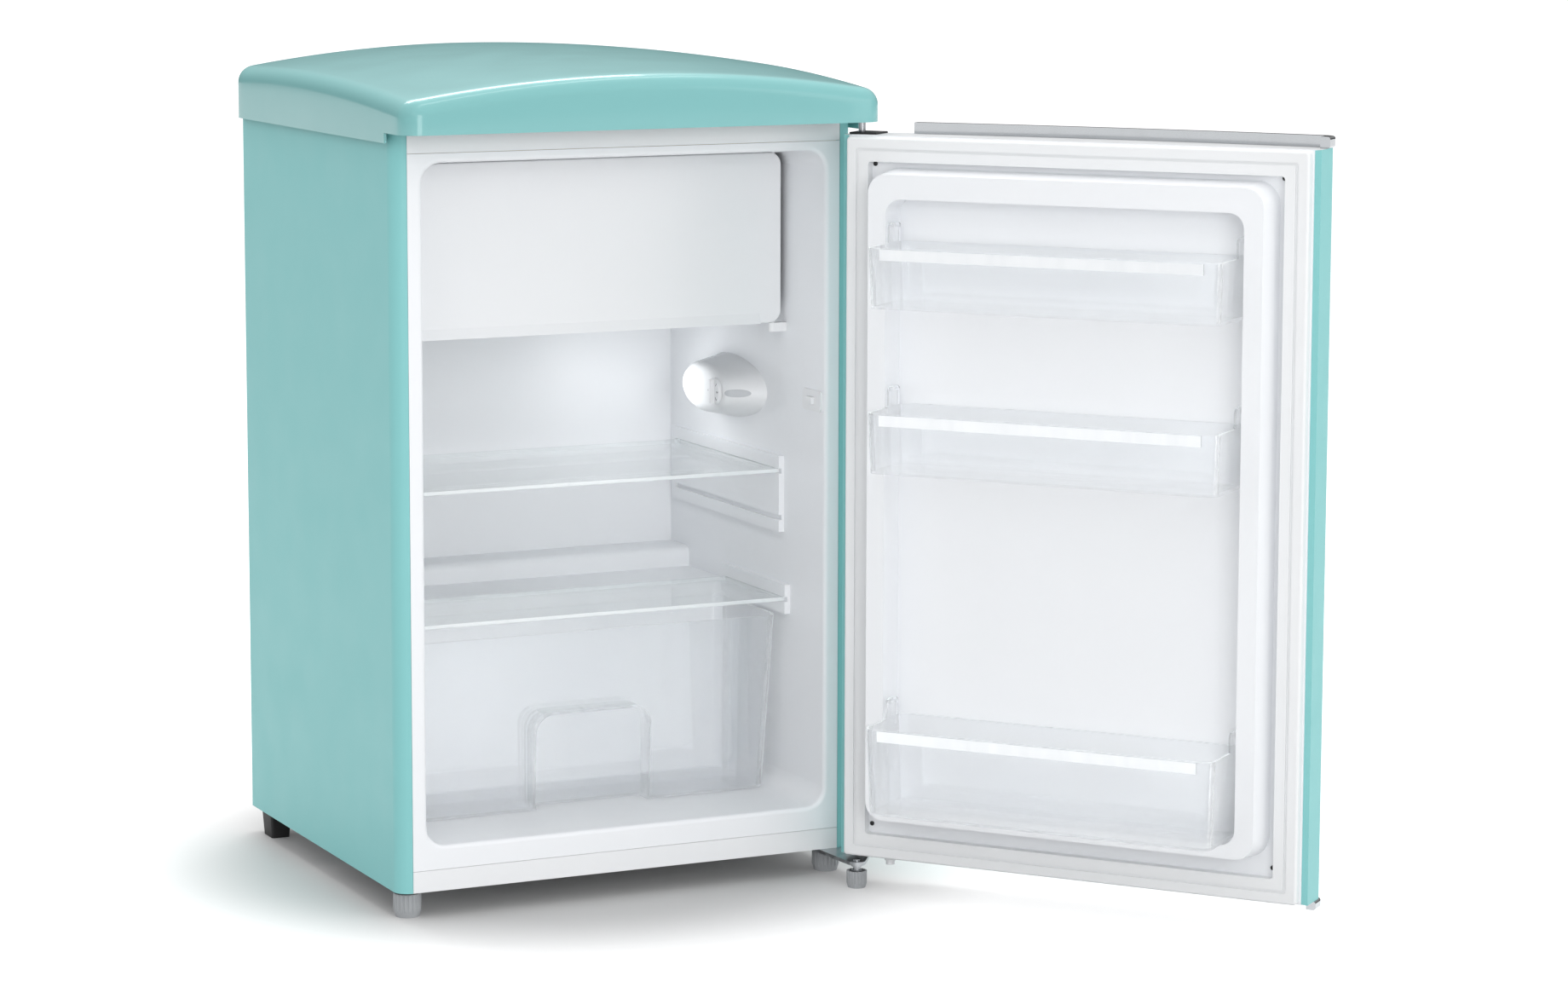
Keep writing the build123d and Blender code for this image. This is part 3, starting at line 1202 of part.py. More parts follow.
def compressor_shell():
    """The welded compressor can: two drawn halves, a seam and a foot plate."""
    x, y, z = COMPRESSOR_X, COMPRESSOR_Y, COMPRESSOR_Z + COMPRESSOR_FOOT
    plan = Pos(x, y, z) * SlotCenterToCenter(2 * COMPRESSOR_STRETCH, 2 * COMPRESSOR_RADIUS)
    can = extrude(plan, COMPRESSOR_HEIGHT)
    can = fillet(can.edges().group_by(Axis.Z)[-1], COMPRESSOR_RADIUS * 0.55)
    can = fillet(can.edges().group_by(Axis.Z)[0], COMPRESSOR_RADIUS * 0.3)
    seam_plan = Pos(x, y, z + COMPRESSOR_HEIGHT * 0.42)
    seam_slot = SlotCenterToCenter(2 * COMPRESSOR_STRETCH, 2 * (COMPRESSOR_RADIUS + COMPRESSOR_SEAM))
    seam = extrude(seam_plan * seam_slot, COMPRESSOR_SEAM)
    inner_plan = Pos(x, y, z + COMPRESSOR_WALL)
    inner_slot = SlotCenterToCenter(2 * COMPRESSOR_STRETCH, 2 * (COMPRESSOR_RADIUS - COMPRESSOR_WALL))
    inner = extrude(inner_plan * inner_slot, COMPRESSOR_HEIGHT - 2 * COMPRESSOR_WALL)
    inner = fillet(inner.edges().group_by(Axis.Z)[-1], COMPRESSOR_RADIUS * 0.5)
    inner = fillet(inner.edges().group_by(Axis.Z)[0], COMPRESSOR_RADIUS * 0.25)
    circles = [(cx, cy, GROMMET_RADIUS) for cx, cy in grommet_places()]
    foot = eye_plate(circles, COMPRESSOR_Z, COMPRESSOR_Z + COMPRESSOR_FOOT)
    return can + seam - inner + foot


def grommet_places():
    """The centres of the four rubber mounts."""
    return [(COMPRESSOR_X + sx * GROMMET_SPREAD_X, COMPRESSOR_Y + sy * GROMMET_SPREAD_Y)
            for sx in (-1, 1) for sy in (-1, 1)]


def compressor_grommets():
    """The four rubber mounts under the compressor's foot plate."""
    z0 = CABINET_BOTTOM + RAIL_SHEET
    mounts = []
    for x, y in grommet_places():
        mount = cylinder_z(x, y, z0, COMPRESSOR_Z, GROMMET_RADIUS)
        waist = cylinder_z(x, y, z0 + 8, COMPRESSOR_Z - 8, GROMMET_RADIUS + 1)
        waist -= cylinder_z(x, y, z0 + 7, COMPRESSOR_Z - 7, GROMMET_RADIUS - 2)
        mounts.append(mount - waist)
    return Compound(mounts)


def compressor_side():
    """The compressor's outline as a plain body, to seat the terminal box on."""
    z = COMPRESSOR_Z + COMPRESSOR_FOOT
    plan = Pos(COMPRESSOR_X, COMPRESSOR_Y, z)
    radius = COMPRESSOR_RADIUS + COMPRESSOR_SEAM
    return extrude(plan * SlotCenterToCenter(2 * COMPRESSOR_STRETCH, 2 * radius), COMPRESSOR_HEIGHT)


def terminal_box():
    """The plastic box with the relay, on the compressor's left end."""
    x1 = COMPRESSOR_X - COMPRESSOR_STRETCH - COMPRESSOR_RADIUS + 10
    x0 = x1 - TERMINAL_DEPTH - 10
    z0 = COMPRESSOR_Z + COMPRESSOR_FOOT + 30
    y0 = COMPRESSOR_Y - TERMINAL_LENGTH / 2
    box = block(x0, x1, y0, y0 + TERMINAL_LENGTH, z0, z0 + TERMINAL_TALL)
    box = fillet(box.edges().group_by(Axis.X)[0], 5)
    return (box - compressor_side()).solid()


def cord_gland():
    """The round gland where the mains lead would leave the terminal box."""
    x0 = COMPRESSOR_X - COMPRESSOR_STRETCH - COMPRESSOR_RADIUS + 10 - TERMINAL_DEPTH - 10
    z = COMPRESSOR_Z + COMPRESSOR_FOOT + 44
    gland = along_x(x0 - GLAND_LENGTH, x0, COMPRESSOR_Y, z, GLAND_RADIUS)
    gland -= along_x(x0 - GLAND_LENGTH - 1, x0 - 2, COMPRESSOR_Y, z, GLAND_BORE)
    return gland


def drain_tray():
    """The tray on top of the compressor that dries off the defrost water."""
    z0 = COMPRESSOR_Z + COMPRESSOR_FOOT + COMPRESSOR_HEIGHT
    plan = Pos(COMPRESSOR_X, COMPRESSOR_Y, z0) * RectangleRounded(TRAY_LENGTH, TRAY_WIDTH, 14)
    tray = extrude(plan, TRAY_HEIGHT, taper=-4)
    hollow_plan = Pos(COMPRESSOR_X, COMPRESSOR_Y, z0 + TRAY_WALL)
    hollow_shape = RectangleRounded(TRAY_LENGTH - 2 * TRAY_WALL, TRAY_WIDTH - 2 * TRAY_WALL, 12)
    hollow = extrude(hollow_plan * hollow_shape, TRAY_HEIGHT, taper=-4)
    return tray - hollow


def tube(points):
    """A round tube's solid along straight runs joined by bends."""
    path = FilletPolyline(*points, radius=TUBE_BEND)
    start = Plane(origin=path @ 0, z_dir=path % 0)
    return sweep(start * Circle(TUBE_RADIUS), path)


def refrigerant_tubes():
    """The suction and discharge tubes from the can up to the niche's ceiling."""
    x_end = COMPRESSOR_X + COMPRESSOR_STRETCH + COMPRESSOR_RADIUS - 1
    z_low = COMPRESSOR_Z + 40
    ceiling = CABINET_BOTTOM + NICHE_HEIGHT
    suction = tube([(x_end, COMPRESSOR_Y - 14, z_low), (x_end + 40, COMPRESSOR_Y - 14, z_low),
                    (x_end + 40, COMPRESSOR_Y - 14, ceiling)])
    discharge = tube([(x_end, COMPRESSOR_Y + 14, z_low + 12), (x_end + 62, COMPRESSOR_Y + 14, z_low + 12),
                      (x_end + 62, COMPRESSOR_Y + 14, ceiling)])
    side = compressor_shell()
    return Compound([(suction - side).solid(), (discharge - side).solid()])


def filter_drier():
    """The copper filter drier hanging from the niche's ceiling beside the tray."""
    x = COMPRESSOR_X - COMPRESSOR_STRETCH - COMPRESSOR_RADIUS - 90
    ceiling = CABINET_BOTTOM + NICHE_HEIGHT
    z1 = ceiling - 34
    z0 = z1 - DRIER_LENGTH
    can = [(0, z0), (TUBE_RADIUS, z0), (DRIER_RADIUS, z0 + 14), (DRIER_RADIUS, z1 - 14)]
    stem = [(TUBE_RADIUS, z1), (TUBE_RADIUS, ceiling), (0, ceiling)]
    profile = Polyline(*can, *stem, close=True)
    plane = Plane(origin=(x, COMPRESSOR_Y, 0), x_dir=(1, 0, 0), z_dir=(0, -1, 0))
    return revolve(plane * make_face(profile), Axis((x, COMPRESSOR_Y, 0), (0, 0, 1)), 360)


def build():
    """Every piece by its name, with the door pieces swung open."""
    outer, inner = cavity(LINER), cavity(0.0)
    left = side_panel()
    bar_top = CABINET_TOP - SHEET
    pieces = {
        "side_panel_left": left,
        "side_panel_right": mirror(left, about=Plane.YZ),
        "top_cover": top_cover(),
        "top_plate": top_plate(),
        "back_panel": back_panel(),
        "base_panel": base_panel(),
        "front_crossbar_upper": crossbar(bar_top - UPPER_BAR_HEIGHT, bar_top),
        "front_crossbar_lower": crossbar(CABINET_BOTTOM, CABINET_BOTTOM + LOWER_BAR_HEIGHT),
        "inner_liner": inner_liner(outer, inner),
        "cabinet_insulation": cabinet_insulation(outer),
        "shelf_glass": shelf_glass(),
        "crisper_glass": crisper_glass(),
        "crisper_drawer": crisper_drawer(),
        "freezer_box": freezer_box(),
        "freezer_hangers": freezer_hangers(inner),
        "freezer_flap": freezer_flap(),
        "freezer_pivot_brackets": pivot_brackets(inner),
        "thermostat_housing": thermostat_housing(inner),
        "thermostat_dial": thermostat_dial(),
        "housing_screw_cap": screw_cap(),
        "lamp_lens": lamp_lens(inner),
        "lamp_bulb": lamp_bulb(),
        "light_switch_body": switch_body(inner),
        "light_switch_key": switch_plunger(0.0),
        "upper_hinge_bracket": upper_hinge_bracket(),
        "lower_hinge_bracket": lower_hinge_bracket(),
        "hinge_pins": Compound([upper_hinge_pin(), lower_hinge_pin()]),
        "hinge_screws": hinge_screws(),
        "front_foot_left": front_foot(-1),
        "front_foot_right": front_foot(1),
        "front_foot_stud_left": front_stud(-1),
        "front_foot_stud_right": front_stud(1),
        "foot_nuts": foot_nuts(),
        "hinge_foot": hinge_foot(),
        "hinge_foot_stud": hinge_stud(),
        "rear_feet": rear_feet(),
        "compressor_rail": compressor_rail(),
        "compressor": compressor_shell(),
        "compressor_grommets": compressor_grommets(),
        "terminal_box": terminal_box(),
        "cord_gland": cord_gland(),
        "drain_tray": drain_tray(),
        "refrigerant_tubes": refrigerant_tubes(),
        "filter_drier": filter_drier(),
    }
    door = {
        "door_outer_panel": door_outer_panel(),
        "door_liner": door_liner(),
        "door_insulation": door_insulation(),
        "door_gasket": door_gasket(),
        "door_trim_upper": door_trim(DOOR_TOP, DOOR_TOP + TRIM_HEIGHT),
        "door_trim_lower": door_trim(DOOR_BOTTOM - TRIM_HEIGHT + 3, DOOR_BOTTOM),
        "door_handle": door_handle(),
        "door_bushes": Compound([door_bush(True), door_bush(False)]),
        "door_stop": door_stop(),
    }
    for name, bottom, height in rack_levels():
        door["rack_" + name] = door_rack(bottom, height)
        door["rack_strip_" + name] = rack_strip(bottom, height)
    for name, shape in door.items():
        pieces[name] = swing(shape)
    return pieces


os.makedirs("parts", exist_ok=True)
for node, shape in build().items():
    export_step(shape, "parts/" + node + ".step")
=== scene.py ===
import json
import math

import bmesh
import bpy
from mathutils import Matrix, Vector


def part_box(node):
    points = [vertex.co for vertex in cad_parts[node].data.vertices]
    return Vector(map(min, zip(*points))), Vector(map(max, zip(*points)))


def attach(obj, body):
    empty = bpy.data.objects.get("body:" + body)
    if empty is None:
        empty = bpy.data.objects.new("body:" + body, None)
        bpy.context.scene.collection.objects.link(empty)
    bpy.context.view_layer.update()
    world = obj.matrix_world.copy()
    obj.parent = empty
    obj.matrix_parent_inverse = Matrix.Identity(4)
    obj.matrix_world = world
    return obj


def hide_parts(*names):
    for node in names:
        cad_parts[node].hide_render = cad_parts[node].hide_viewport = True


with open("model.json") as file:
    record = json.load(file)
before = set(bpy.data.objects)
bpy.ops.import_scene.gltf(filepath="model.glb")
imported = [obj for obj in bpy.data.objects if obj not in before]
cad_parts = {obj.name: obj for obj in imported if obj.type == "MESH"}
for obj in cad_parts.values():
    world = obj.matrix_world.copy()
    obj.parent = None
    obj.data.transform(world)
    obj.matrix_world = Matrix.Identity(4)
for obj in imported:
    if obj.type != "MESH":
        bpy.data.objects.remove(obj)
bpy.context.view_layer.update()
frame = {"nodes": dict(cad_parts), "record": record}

# Looks of a retro refrigerator with its door open.
# Metres, in the same frame as the solids: +Z up, the front faces -Y.

# Camera, fitted to the photograph, with pixels of the photograph's frame
IMAGE_WIDTH = 1840.0
CAMERA_PLACE = (-1.892089, -4.512402, 1.161986)
CAMERA_YAW = -24.942
CAMERA_PITCH = 7.566
SENSOR_WIDTH = 36.0
FOCAL_PIXELS = 5025.0
AXIS_PIXEL = (828.0, 487.0)
IMAGE_MIDDLE = (920.0, 579.0)

# Floor: where it is seen, its glow grows from near to far between two distances from the origin; the little
# glow near the cabinet is painted shade round it, on top of its real shadow
FLOOR_SIZE = 60.0
FLOOR_COLOUR = (0.6, 0.6, 0.6)
FLOOR_ROUGH = 0.5
FLOOR_SHINE = 0.2
FLOOR_GLOW_IN_PAINTED_SHADE = 0.02
FLOOR_GLOW_FAR = 0.66
FLOOR_PAINTED_SHADE_REACH = (0.3, 0.58)

# Surroundings: their strength as a light, and in reflections from level up to a height
WORLD_LIGHT = 0.92
SHINE_LOW = 0.05
SHINE_HIGH = 0.95
SHINE_TOP = 0.9

# How many clear faces a ray may pass
CLEAR_BOUNCES = 24

# Soft lamps: name, place, target, width and length, watts
LIT_MIDDLE = (0.15, -0.2, 0.5)
LIT_CABINET = (0.0, 0.1, 0.45)
SOFT_LAMPS = (
    ("key", (-2.6, -3.4, 2.6), LIT_MIDDLE, (1.2, 1.6), 5.0),
    ("fill", (3.0, -3.2, 1.8), LIT_MIDDLE, (2.4, 2.4), 24.0),
    ("front", (-0.6, -4.4, 1.2), LIT_CABINET, (1.6, 1.6), 38.0),
    ("above", (0.5, -0.5, 3.4), LIT_MIDDLE, (3.0, 0.2), 9.0),
    ("behind", (0.2, 1.7, 3.4), LIT_MIDDLE, (2.4, 1.0), 60.0),
)

# Small lamps inside the cabinet: name, place, watts, radius
INSIDE_LAMPS = (
    ("fridge_lamp", (0.15, 0.03, 0.536), 0.2, 0.03),
    ("inside_fill", (0.0, -0.12, 0.5), 0.16, 0.08),
)

# Door hinge, to place small pieces on the open door
HINGE = (0.2655, -0.2843)
DOOR_OPEN = math.radians(128.4)

# Small screws and numbers, left to this file
BACK_SCREW_Y = 0.243
BACK_SCREW_RADIUS = 0.0038
BACK_SCREW_HALF = 0.252
BACK_SCREW_HEIGHTS = (0.285, 0.47, 0.65, 0.838)
BACK_SCREW_ROW = (-0.12, 0.0, 0.12)
DOOR_SCREW_Y = -0.256
DOOR_SCREW_HALF = 0.236
DOOR_SCREW_HEIGHTS = (0.075, 0.816)
DOOR_SCREW_RADIUS = 0.0026
DIAL_FACE = (0.1917, -0.052, 0.536)
DIAL_RING = 0.0112
DIAL_TEXT = 0.0058
DIAL_TEXT_DEPTH = 0.00012
DIAL_ANGLES = (45, 90, 135, 225, 270)

# A pan head: its height as a share of its radius, and its outline as shares of radius and height
SCREW_SIDES = 24
SCREW_TALL = 0.62
SCREW_OUTLINE = (
    (1.0, 0.0),
    (1.0, 0.35),
    (0.9, 0.68),
    (0.66, 0.93),
    (0.42, 1.0),
    (0.36, 0.9),
    (0.3, 0.35),
)

# A face counts as turned to a side, or as square to it, from these cosines
TURNED_TO = 0.5
SQUARE_TO = 0.9

# Clear pieces get painted edge light: a pane is flatter than this, and a tub's rim is above this share of
# its height
PANE_TALL = 0.01
RIM_SHARE = 0.5

# The door panel's end caps reach this far from its upper and lower ends
CAP_TALL = 0.03

# Solids whose finish differs from the rest of their slot
OWN_FINISH = {
    "rack_strip_upper": "bright_strip",
    "rack_strip_middle": "bright_strip",
    "rack_strip_lower": "bright_strip",
    "housing_screw_cap": "cap_grey",
}

# Top cover: a shell that follows the photograph more closely than its solid
# The arch and the slope are radii, across the cover and from its front to its back
COVER_CROWN = 0.935
COVER_CROWN_Y = 0.06
COVER_ARCH = 1.65
COVER_SLOPE = 3.8
COVER_CORNER = 0.023
COVER_ROUND = 0.02
COVER_SHELL = 0.003
COVER_FRONT_EDGE = 0.86
CABINET_FRONT = -0.244
COVER_SIDE_STEPS = 28
COVER_CORNER_STEPS = 8
COVER_ROUND_STEPS = 8
COVER_TOP_RINGS = 14
COVER_CUT_STEP = 0.0001

# Colours of the main finishes, 0 to 255
TEAL = (138, 202, 202)
TEAL_DEEP = (135, 199, 199)
COVER_TEAL = (127, 186, 186)
COVER_TEAL_DEEP = (125, 184, 184)
WHITE = (237, 238, 240)
WHITE_SHADE = (233, 235, 237)
LINER = (240, 242, 245)
LINER_SHADE = (237, 239, 242)

# Scales of the patterns in the materials: a larger one is finer
ENAMEL_CLOUD = 3.0
ENAMEL_GLOSS = 18.0
ENAMEL_PEEL = 420.0
MOULDED_CLOUD = 5.0
MOULDED_GLOSS = 30.0
MOULDED_GRAIN = 900.0
FOAM_GRAIN = 260.0
CLEAR_CLOUD = 9.0
CLEAR_GLOSS = 25.0
CLEAR_RIPPLE = 40.0
EDGE_CLOUD = 40.0
EDGE_GLOSS = 60.0
METAL_LINES = 60.0
SPANGLE_CELLS = 110.0
SPANGLE_GRAIN = 300.0

# Detail of the noise patterns: a larger one is rougher
RIPPLE_DETAIL = 1.0
GRAIN_DETAIL = 2.0
CLOUD_DETAIL = 3.0
LINE_DETAIL = 4.0

# Roughness of an enamel's clear coat, and depth of the grain on zinc
COAT_ROUGH = 0.08
SPANGLE_DEPTH = 0.00004

# The middle of a noise pattern, which is spread over the whole range of a value
NOISE_MIDDLE = (0.3, 0.7)


def linear(colour):
    """A colour given as 0 to 255 in the form that the shaders take."""
    values = []
    for channel in colour:
        c = channel / 255.0
        values.append(c / 12.92 if c <= 0.04045 else ((c + 0.055) / 1.055) ** 2.4)
    return (*values, 1.0)


# Materials


class Shader:
    """A new material with its main shader and short calls for the nodes that feed it."""

    def __init__(self, name):
        self.material = bpy.data.materials.new(name)
        self.material.use_nodes = True
        self.tree = self.material.node_tree
        self.main = self.tree.nodes["Principled BSDF"]
        self.place = self.tree.nodes.new("ShaderNodeTexCoord").outputs["Object"]

    def set(self, **values):
        """Constant values on the main shader's sockets."""
        for key, value in values.items():
            self.main.inputs[key.replace("_", " ")].default_value = value
        return self

    def link(self, output, socket):
        """Joins one node's output to another's input."""
        self.tree.links.new(output, socket)

    def stretched(self, scale):
        """The object's coordinates, stretched by a scale for each axis."""
        node = self.tree.nodes.new("ShaderNodeMapping")
        node.inputs["Scale"].default_value = scale
        self.link(self.place, node.inputs["Vector"])
        return node.outputs["Vector"]

    def noise(self, scale, detail=CLOUD_DETAIL, stretch=None):
        """A noise pattern from 0 to 1."""
        node = self.tree.nodes.new("ShaderNodeTexNoise")
        node.inputs["Scale"].default_value = scale
        node.inputs["Detail"].default_value = detail
        self.link(self.stretched(stretch) if stretch else self.place, node.inputs["Vector"])
        return node.outputs["Fac"]

    def cells(self, scale):
        """A pattern of flat crystal-like cells from 0 to 1."""
        node = self.tree.nodes.new("ShaderNodeTexVoronoi")
        node.inputs["Scale"].default_value = scale
        self.link(self.place, node.inputs["Vector"])
        return node.outputs["Color"]

    def span(self, value, low, high):
        """A pattern from 0 to 1 brought between two values."""
        node = self.tree.nodes.new("ShaderNodeMapRange")
        node.inputs["From Min"].default_value = NOISE_MIDDLE[0]
        node.inputs["From Max"].default_value = NOISE_MIDDLE[1]
        node.inputs["To Min"].default_value = low
        node.inputs["To Max"].default_value = high
        self.link(value, node.inputs["Value"])
        return node.outputs["Result"]

    def colours(self, value, first, second):
        """A colour that runs from the first to the second with a pattern."""
        node = self.tree.nodes.new("ShaderNodeMix")
        node.data_type = "RGBA"
        node.inputs["A"].default_value = linear(first)
        node.inputs["B"].default_value = linear(second)
        self.link(value, node.inputs["Factor"])
        self.link(node.outputs["Result"], self.main.inputs["Base Color"])
        return self

    def rough(self, value, limits):
        """Roughness that varies between two limits with a pattern."""
        self.link(self.span(value, *limits), self.main.inputs["Roughness"])
        return self

    def bump(self, value, depth):
        """Small relief from a pattern, its depth in metres."""
        node = self.tree.nodes.new("ShaderNodeBump")
        node.inputs["Strength"].default_value = 1.0
        node.inputs["Distance"].default_value = depth
        self.link(value, node.inputs["Height"])
        self.link(node.outputs["Normal"], self.main.inputs["Normal"])
        return self

    def pass_shadows(self):
        """Lets the light of lamps through, as thin clear pieces do."""
        out = self.tree.nodes["Material Output"].inputs["Surface"]
        mix = self.tree.nodes.new("ShaderNodeMixShader")
        path = self.tree.nodes.new("ShaderNodeLightPath")
        empty = self.tree.nodes.new("ShaderNodeBsdfTransparent")
        self.link(path.outputs["Is Shadow Ray"], mix.inputs[0])
        self.link(self.main.outputs["BSDF"], mix.inputs[1])
        self.link(empty.outputs["BSDF"], mix.inputs[2])
        self.link(mix.outputs["Shader"], out)


def enamel(name, first, second, rough, peel, coat, shine):
    """Sprayed and baked enamel: a faint cloud of colour, orange peel and a clear coat."""
    shader = Shader(name)
    shader.colours(shader.noise(ENAMEL_CLOUD), first, second)
    shader.rough(shader.noise(ENAMEL_GLOSS), rough)
    shader.bump(shader.noise(ENAMEL_PEEL, GRAIN_DETAIL), peel)
    return shader.set(Coat_Weight=coat, Coat_Roughness=COAT_ROUGH, Specular_IOR_Level=shine).material


def moulded(name, first, second, rough, depth, grain=MOULDED_GRAIN):
    """Moulded plastic: a faint cloud of colour and a fine mould texture."""
    shader = Shader(name)
    shader.colours(shader.noise(MOULDED_CLOUD), first, second)
    shader.rough(shader.noise(MOULDED_GLOSS), rough)
    shader.bump(shader.noise(grain, GRAIN_DETAIL), depth)
    return shader.material


def clear(name, first, second, rough, ripple, index, body):
    """Clear plastic or glass with a little flow in its surface; body is how much of it is seen."""
    shader = Shader(name)
    shader.colours(shader.noise(CLEAR_CLOUD), first, second)
    shader.rough(shader.noise(CLEAR_GLOSS), rough)
    shader.bump(shader.noise(CLEAR_RIPPLE, RIPPLE_DETAIL), ripple)
    shader.pass_shadows()
    return shader.set(Transmission_Weight=1.0, IOR=index, Alpha=body).material


def edge(name, first, second, rough, body):
    """The edge of a clear piece, with a painted glow for the light that has run along inside it and comes
    out there.
    """
    shader = Shader(name)
    shader.colours(shader.noise(EDGE_CLOUD), first, second)
    shader.rough(shader.noise(EDGE_GLOSS), rough)
    return shader.set(Alpha=body).material


def metal(name, first, second, rough, stretch, scratch):
    """Bare or plated metal with drawn or rolled lines."""
    shader = Shader(name)
    lines = shader.noise(METAL_LINES, LINE_DETAIL, stretch)
    shader.colours(lines, first, second)
    shader.rough(lines, rough)
    shader.bump(lines, scratch)
    return shader.set(Metallic=1.0).material


def spangle(name, first, second, rough):
    """Zinc-plated sheet with its crystal pattern."""
    shader = Shader(name)
    cells = shader.cells(SPANGLE_CELLS)
    shader.colours(cells, first, second)
    shader.rough(cells, rough)
    shader.bump(shader.noise(SPANGLE_GRAIN), SPANGLE_DEPTH)
    return shader.set(Metallic=1.0).material


def make_materials():
    """One material for each slot of the record, and those that this file adds."""
    return {
        "teal_paint": enamel(
            "teal_enamel", TEAL, TEAL_DEEP,
            rough=(0.42, 0.5), peel=0.000004, coat=0.06, shine=0.2),
        "teal_cover": enamel(
            "teal_cover", COVER_TEAL, COVER_TEAL_DEEP,
            rough=(0.3, 0.36), peel=0.000002, coat=0.5, shine=0.3),
        "frame_white": enamel(
            "white_enamel", WHITE, WHITE_SHADE,
            rough=(0.3, 0.38), peel=0.000006, coat=0.2, shine=0.4),
        "liner_white": moulded(
            "liner_plastic", LINER, LINER_SHADE, rough=(0.30, 0.42), depth=0.000006),
        "plastic_white": moulded(
            "white_plastic", WHITE, WHITE_SHADE, rough=(0.28, 0.38), depth=0.000005),
        "foam": moulded(
            "foam", (240, 225, 180), (226, 208, 158), rough=(0.8, 0.95), depth=0.0004, grain=FOAM_GRAIN),
        "plated_steel": spangle(
            "plated_steel", (168, 171, 174), (196, 199, 202), rough=(0.28, 0.42)),
        "back_paint": enamel(
            "grey_primer", (203, 206, 208), (192, 195, 198),
            rough=(0.42, 0.55), peel=0.00001, coat=0.1, shine=0.4),
        "seal_white": moulded(
            "soft_seal", (236, 237, 238), (230, 232, 234), rough=(0.48, 0.6), depth=0.000006),
        "clear_plastic": clear(
            "clear_plastic", (254, 255, 255), (251, 253, 255),
            rough=(0.02, 0.06), ripple=0.00006, index=1.45, body=0.5),
        "shelf_glass": clear(
            "float_glass", (248, 254, 252), (244, 252, 250),
            rough=(0.01, 0.03), ripple=0.00001, index=1.5, body=0.5),
        "aluminium": metal(
            "rolled_aluminium", (205, 208, 210), (222, 224, 226),
            rough=(0.3, 0.45), stretch=(1, 30, 30), scratch=0.00003),
        "chrome": metal(
            "bright_trim", (182, 185, 188), (196, 199, 202),
            rough=(0.07, 0.13), stretch=(1, 1, 0.2), scratch=0.000002),
        "bright_strip": metal(
            "bright_strip", (212, 215, 218), (228, 230, 232),
            rough=(0.06, 0.12), stretch=(1, 1, 0.2), scratch=0.000002),
        "lamp_glass": clear(
            "lamp_glass", (255, 250, 238), (250, 244, 230),
            rough=(0.05, 0.1), ripple=0.00001, index=1.5, body=0.6),
        "painted_edge_light": edge(
            "painted_edge_light_finish", (247, 250, 251), (240, 246, 248), rough=(0.25, 0.4), body=0.8),
        "lens_white": moulded(
            "frosted_lens", (248, 250, 251), (240, 243, 245), rough=(0.12, 0.2), depth=0.00002),
        "black_plastic": moulded(
            "black_plastic", (26, 26, 27), (36, 36, 37), rough=(0.45, 0.6), depth=0.00006),
        "grey_plastic": moulded(
            "grey_plastic", (172, 175, 178), (160, 163, 166), rough=(0.42, 0.55), depth=0.00002),
        "cap_grey": moulded(
            "cap_grey", (198, 201, 205), (190, 193, 197), rough=(0.4, 0.5), depth=0.000005),
        "black_paint": enamel(
            "black_enamel", (22, 22, 23), (30, 30, 31),
            rough=(0.28, 0.4), peel=0.00001, coat=0.3, shine=0.5),
        "rubber_black": moulded(
            "rubber", (30, 30, 30), (42, 42, 42), rough=(0.7, 0.85), depth=0.00008),
        "copper": metal(
            "copper_tube", (196, 128, 96), (176, 108, 78),
            rough=(0.22, 0.38), stretch=(40, 40, 1), scratch=0.00003),
    }


def paint_edge_light(node, mesh):
    """Gives a pane's front edge, or a tub's upper rim, the material of painted edge light."""
    low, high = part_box(node)
    pane = high[2] - low[2] < PANE_TALL
    rim = low[2] + RIM_SHARE * (high[2] - low[2])
    for face in mesh.polygons:
        if pane:
            face.material_index = int(face.normal.y < -TURNED_TO)
        else:
            face.material_index = int(face.normal.z > SQUARE_TO and face.center.z > rim)


def whiten_ends(node, mesh):
    """Gives the door panel's upper and lower ends the white finish of end caps."""
    low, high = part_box(node)
    inward = Vector((-math.sin(DOOR_OPEN), math.cos(DOOR_OPEN), 0.0))
    for face in mesh.polygons:
        near = face.center.z > high[2] - CAP_TALL or face.center.z < low[2] + CAP_TALL
        square = abs(face.normal.z) > SQUARE_TO or face.normal.dot(inward) > SQUARE_TO
        face.material_index = int(near and square)


def dress_nodes(materials):
    """Gives every solid the material of its slot, or its own."""
    for part in frame["record"]["subparts"]:
        mesh = frame["nodes"][part["node"]].data
        mesh.materials.clear()
        mesh.materials.append(materials[OWN_FINISH.get(part["node"], part["material_slot"])])
        if part["material_slot"] in ("shelf_glass", "clear_plastic"):
            # Clear pieces get a second material, a painted edge light, on their front edges or rims
            mesh.materials.append(materials["painted_edge_light"])
            paint_edge_light(part["node"], mesh)
        if part["node"] == "door_outer_panel":
            mesh.materials.append(materials["frame_white"])
            whiten_ends(part["node"], mesh)


# New pieces: the cover's shell, screws and numbers


def on_open_door(x, y):
    """A point given on the shut door, moved to where the open door has it."""
    dx, dy = x - HINGE[0], y - HINGE[1]
    c, s = math.cos(DOOR_OPEN), math.sin(DOOR_OPEN)
    return HINGE[0] + dx * c - dy * s, HINGE[1] + dx * s + dy * c


def add_piece(name, mesh, place, body, material):
    """A new piece: its place is a matrix, and it moves with a body."""
    piece = bpy.data.objects.new(name, mesh)
    mesh.materials.clear()
    mesh.materials.append(material)
    mesh.transform(place)
    bpy.context.scene.collection.objects.link(piece)
    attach(piece, body)
    return piece


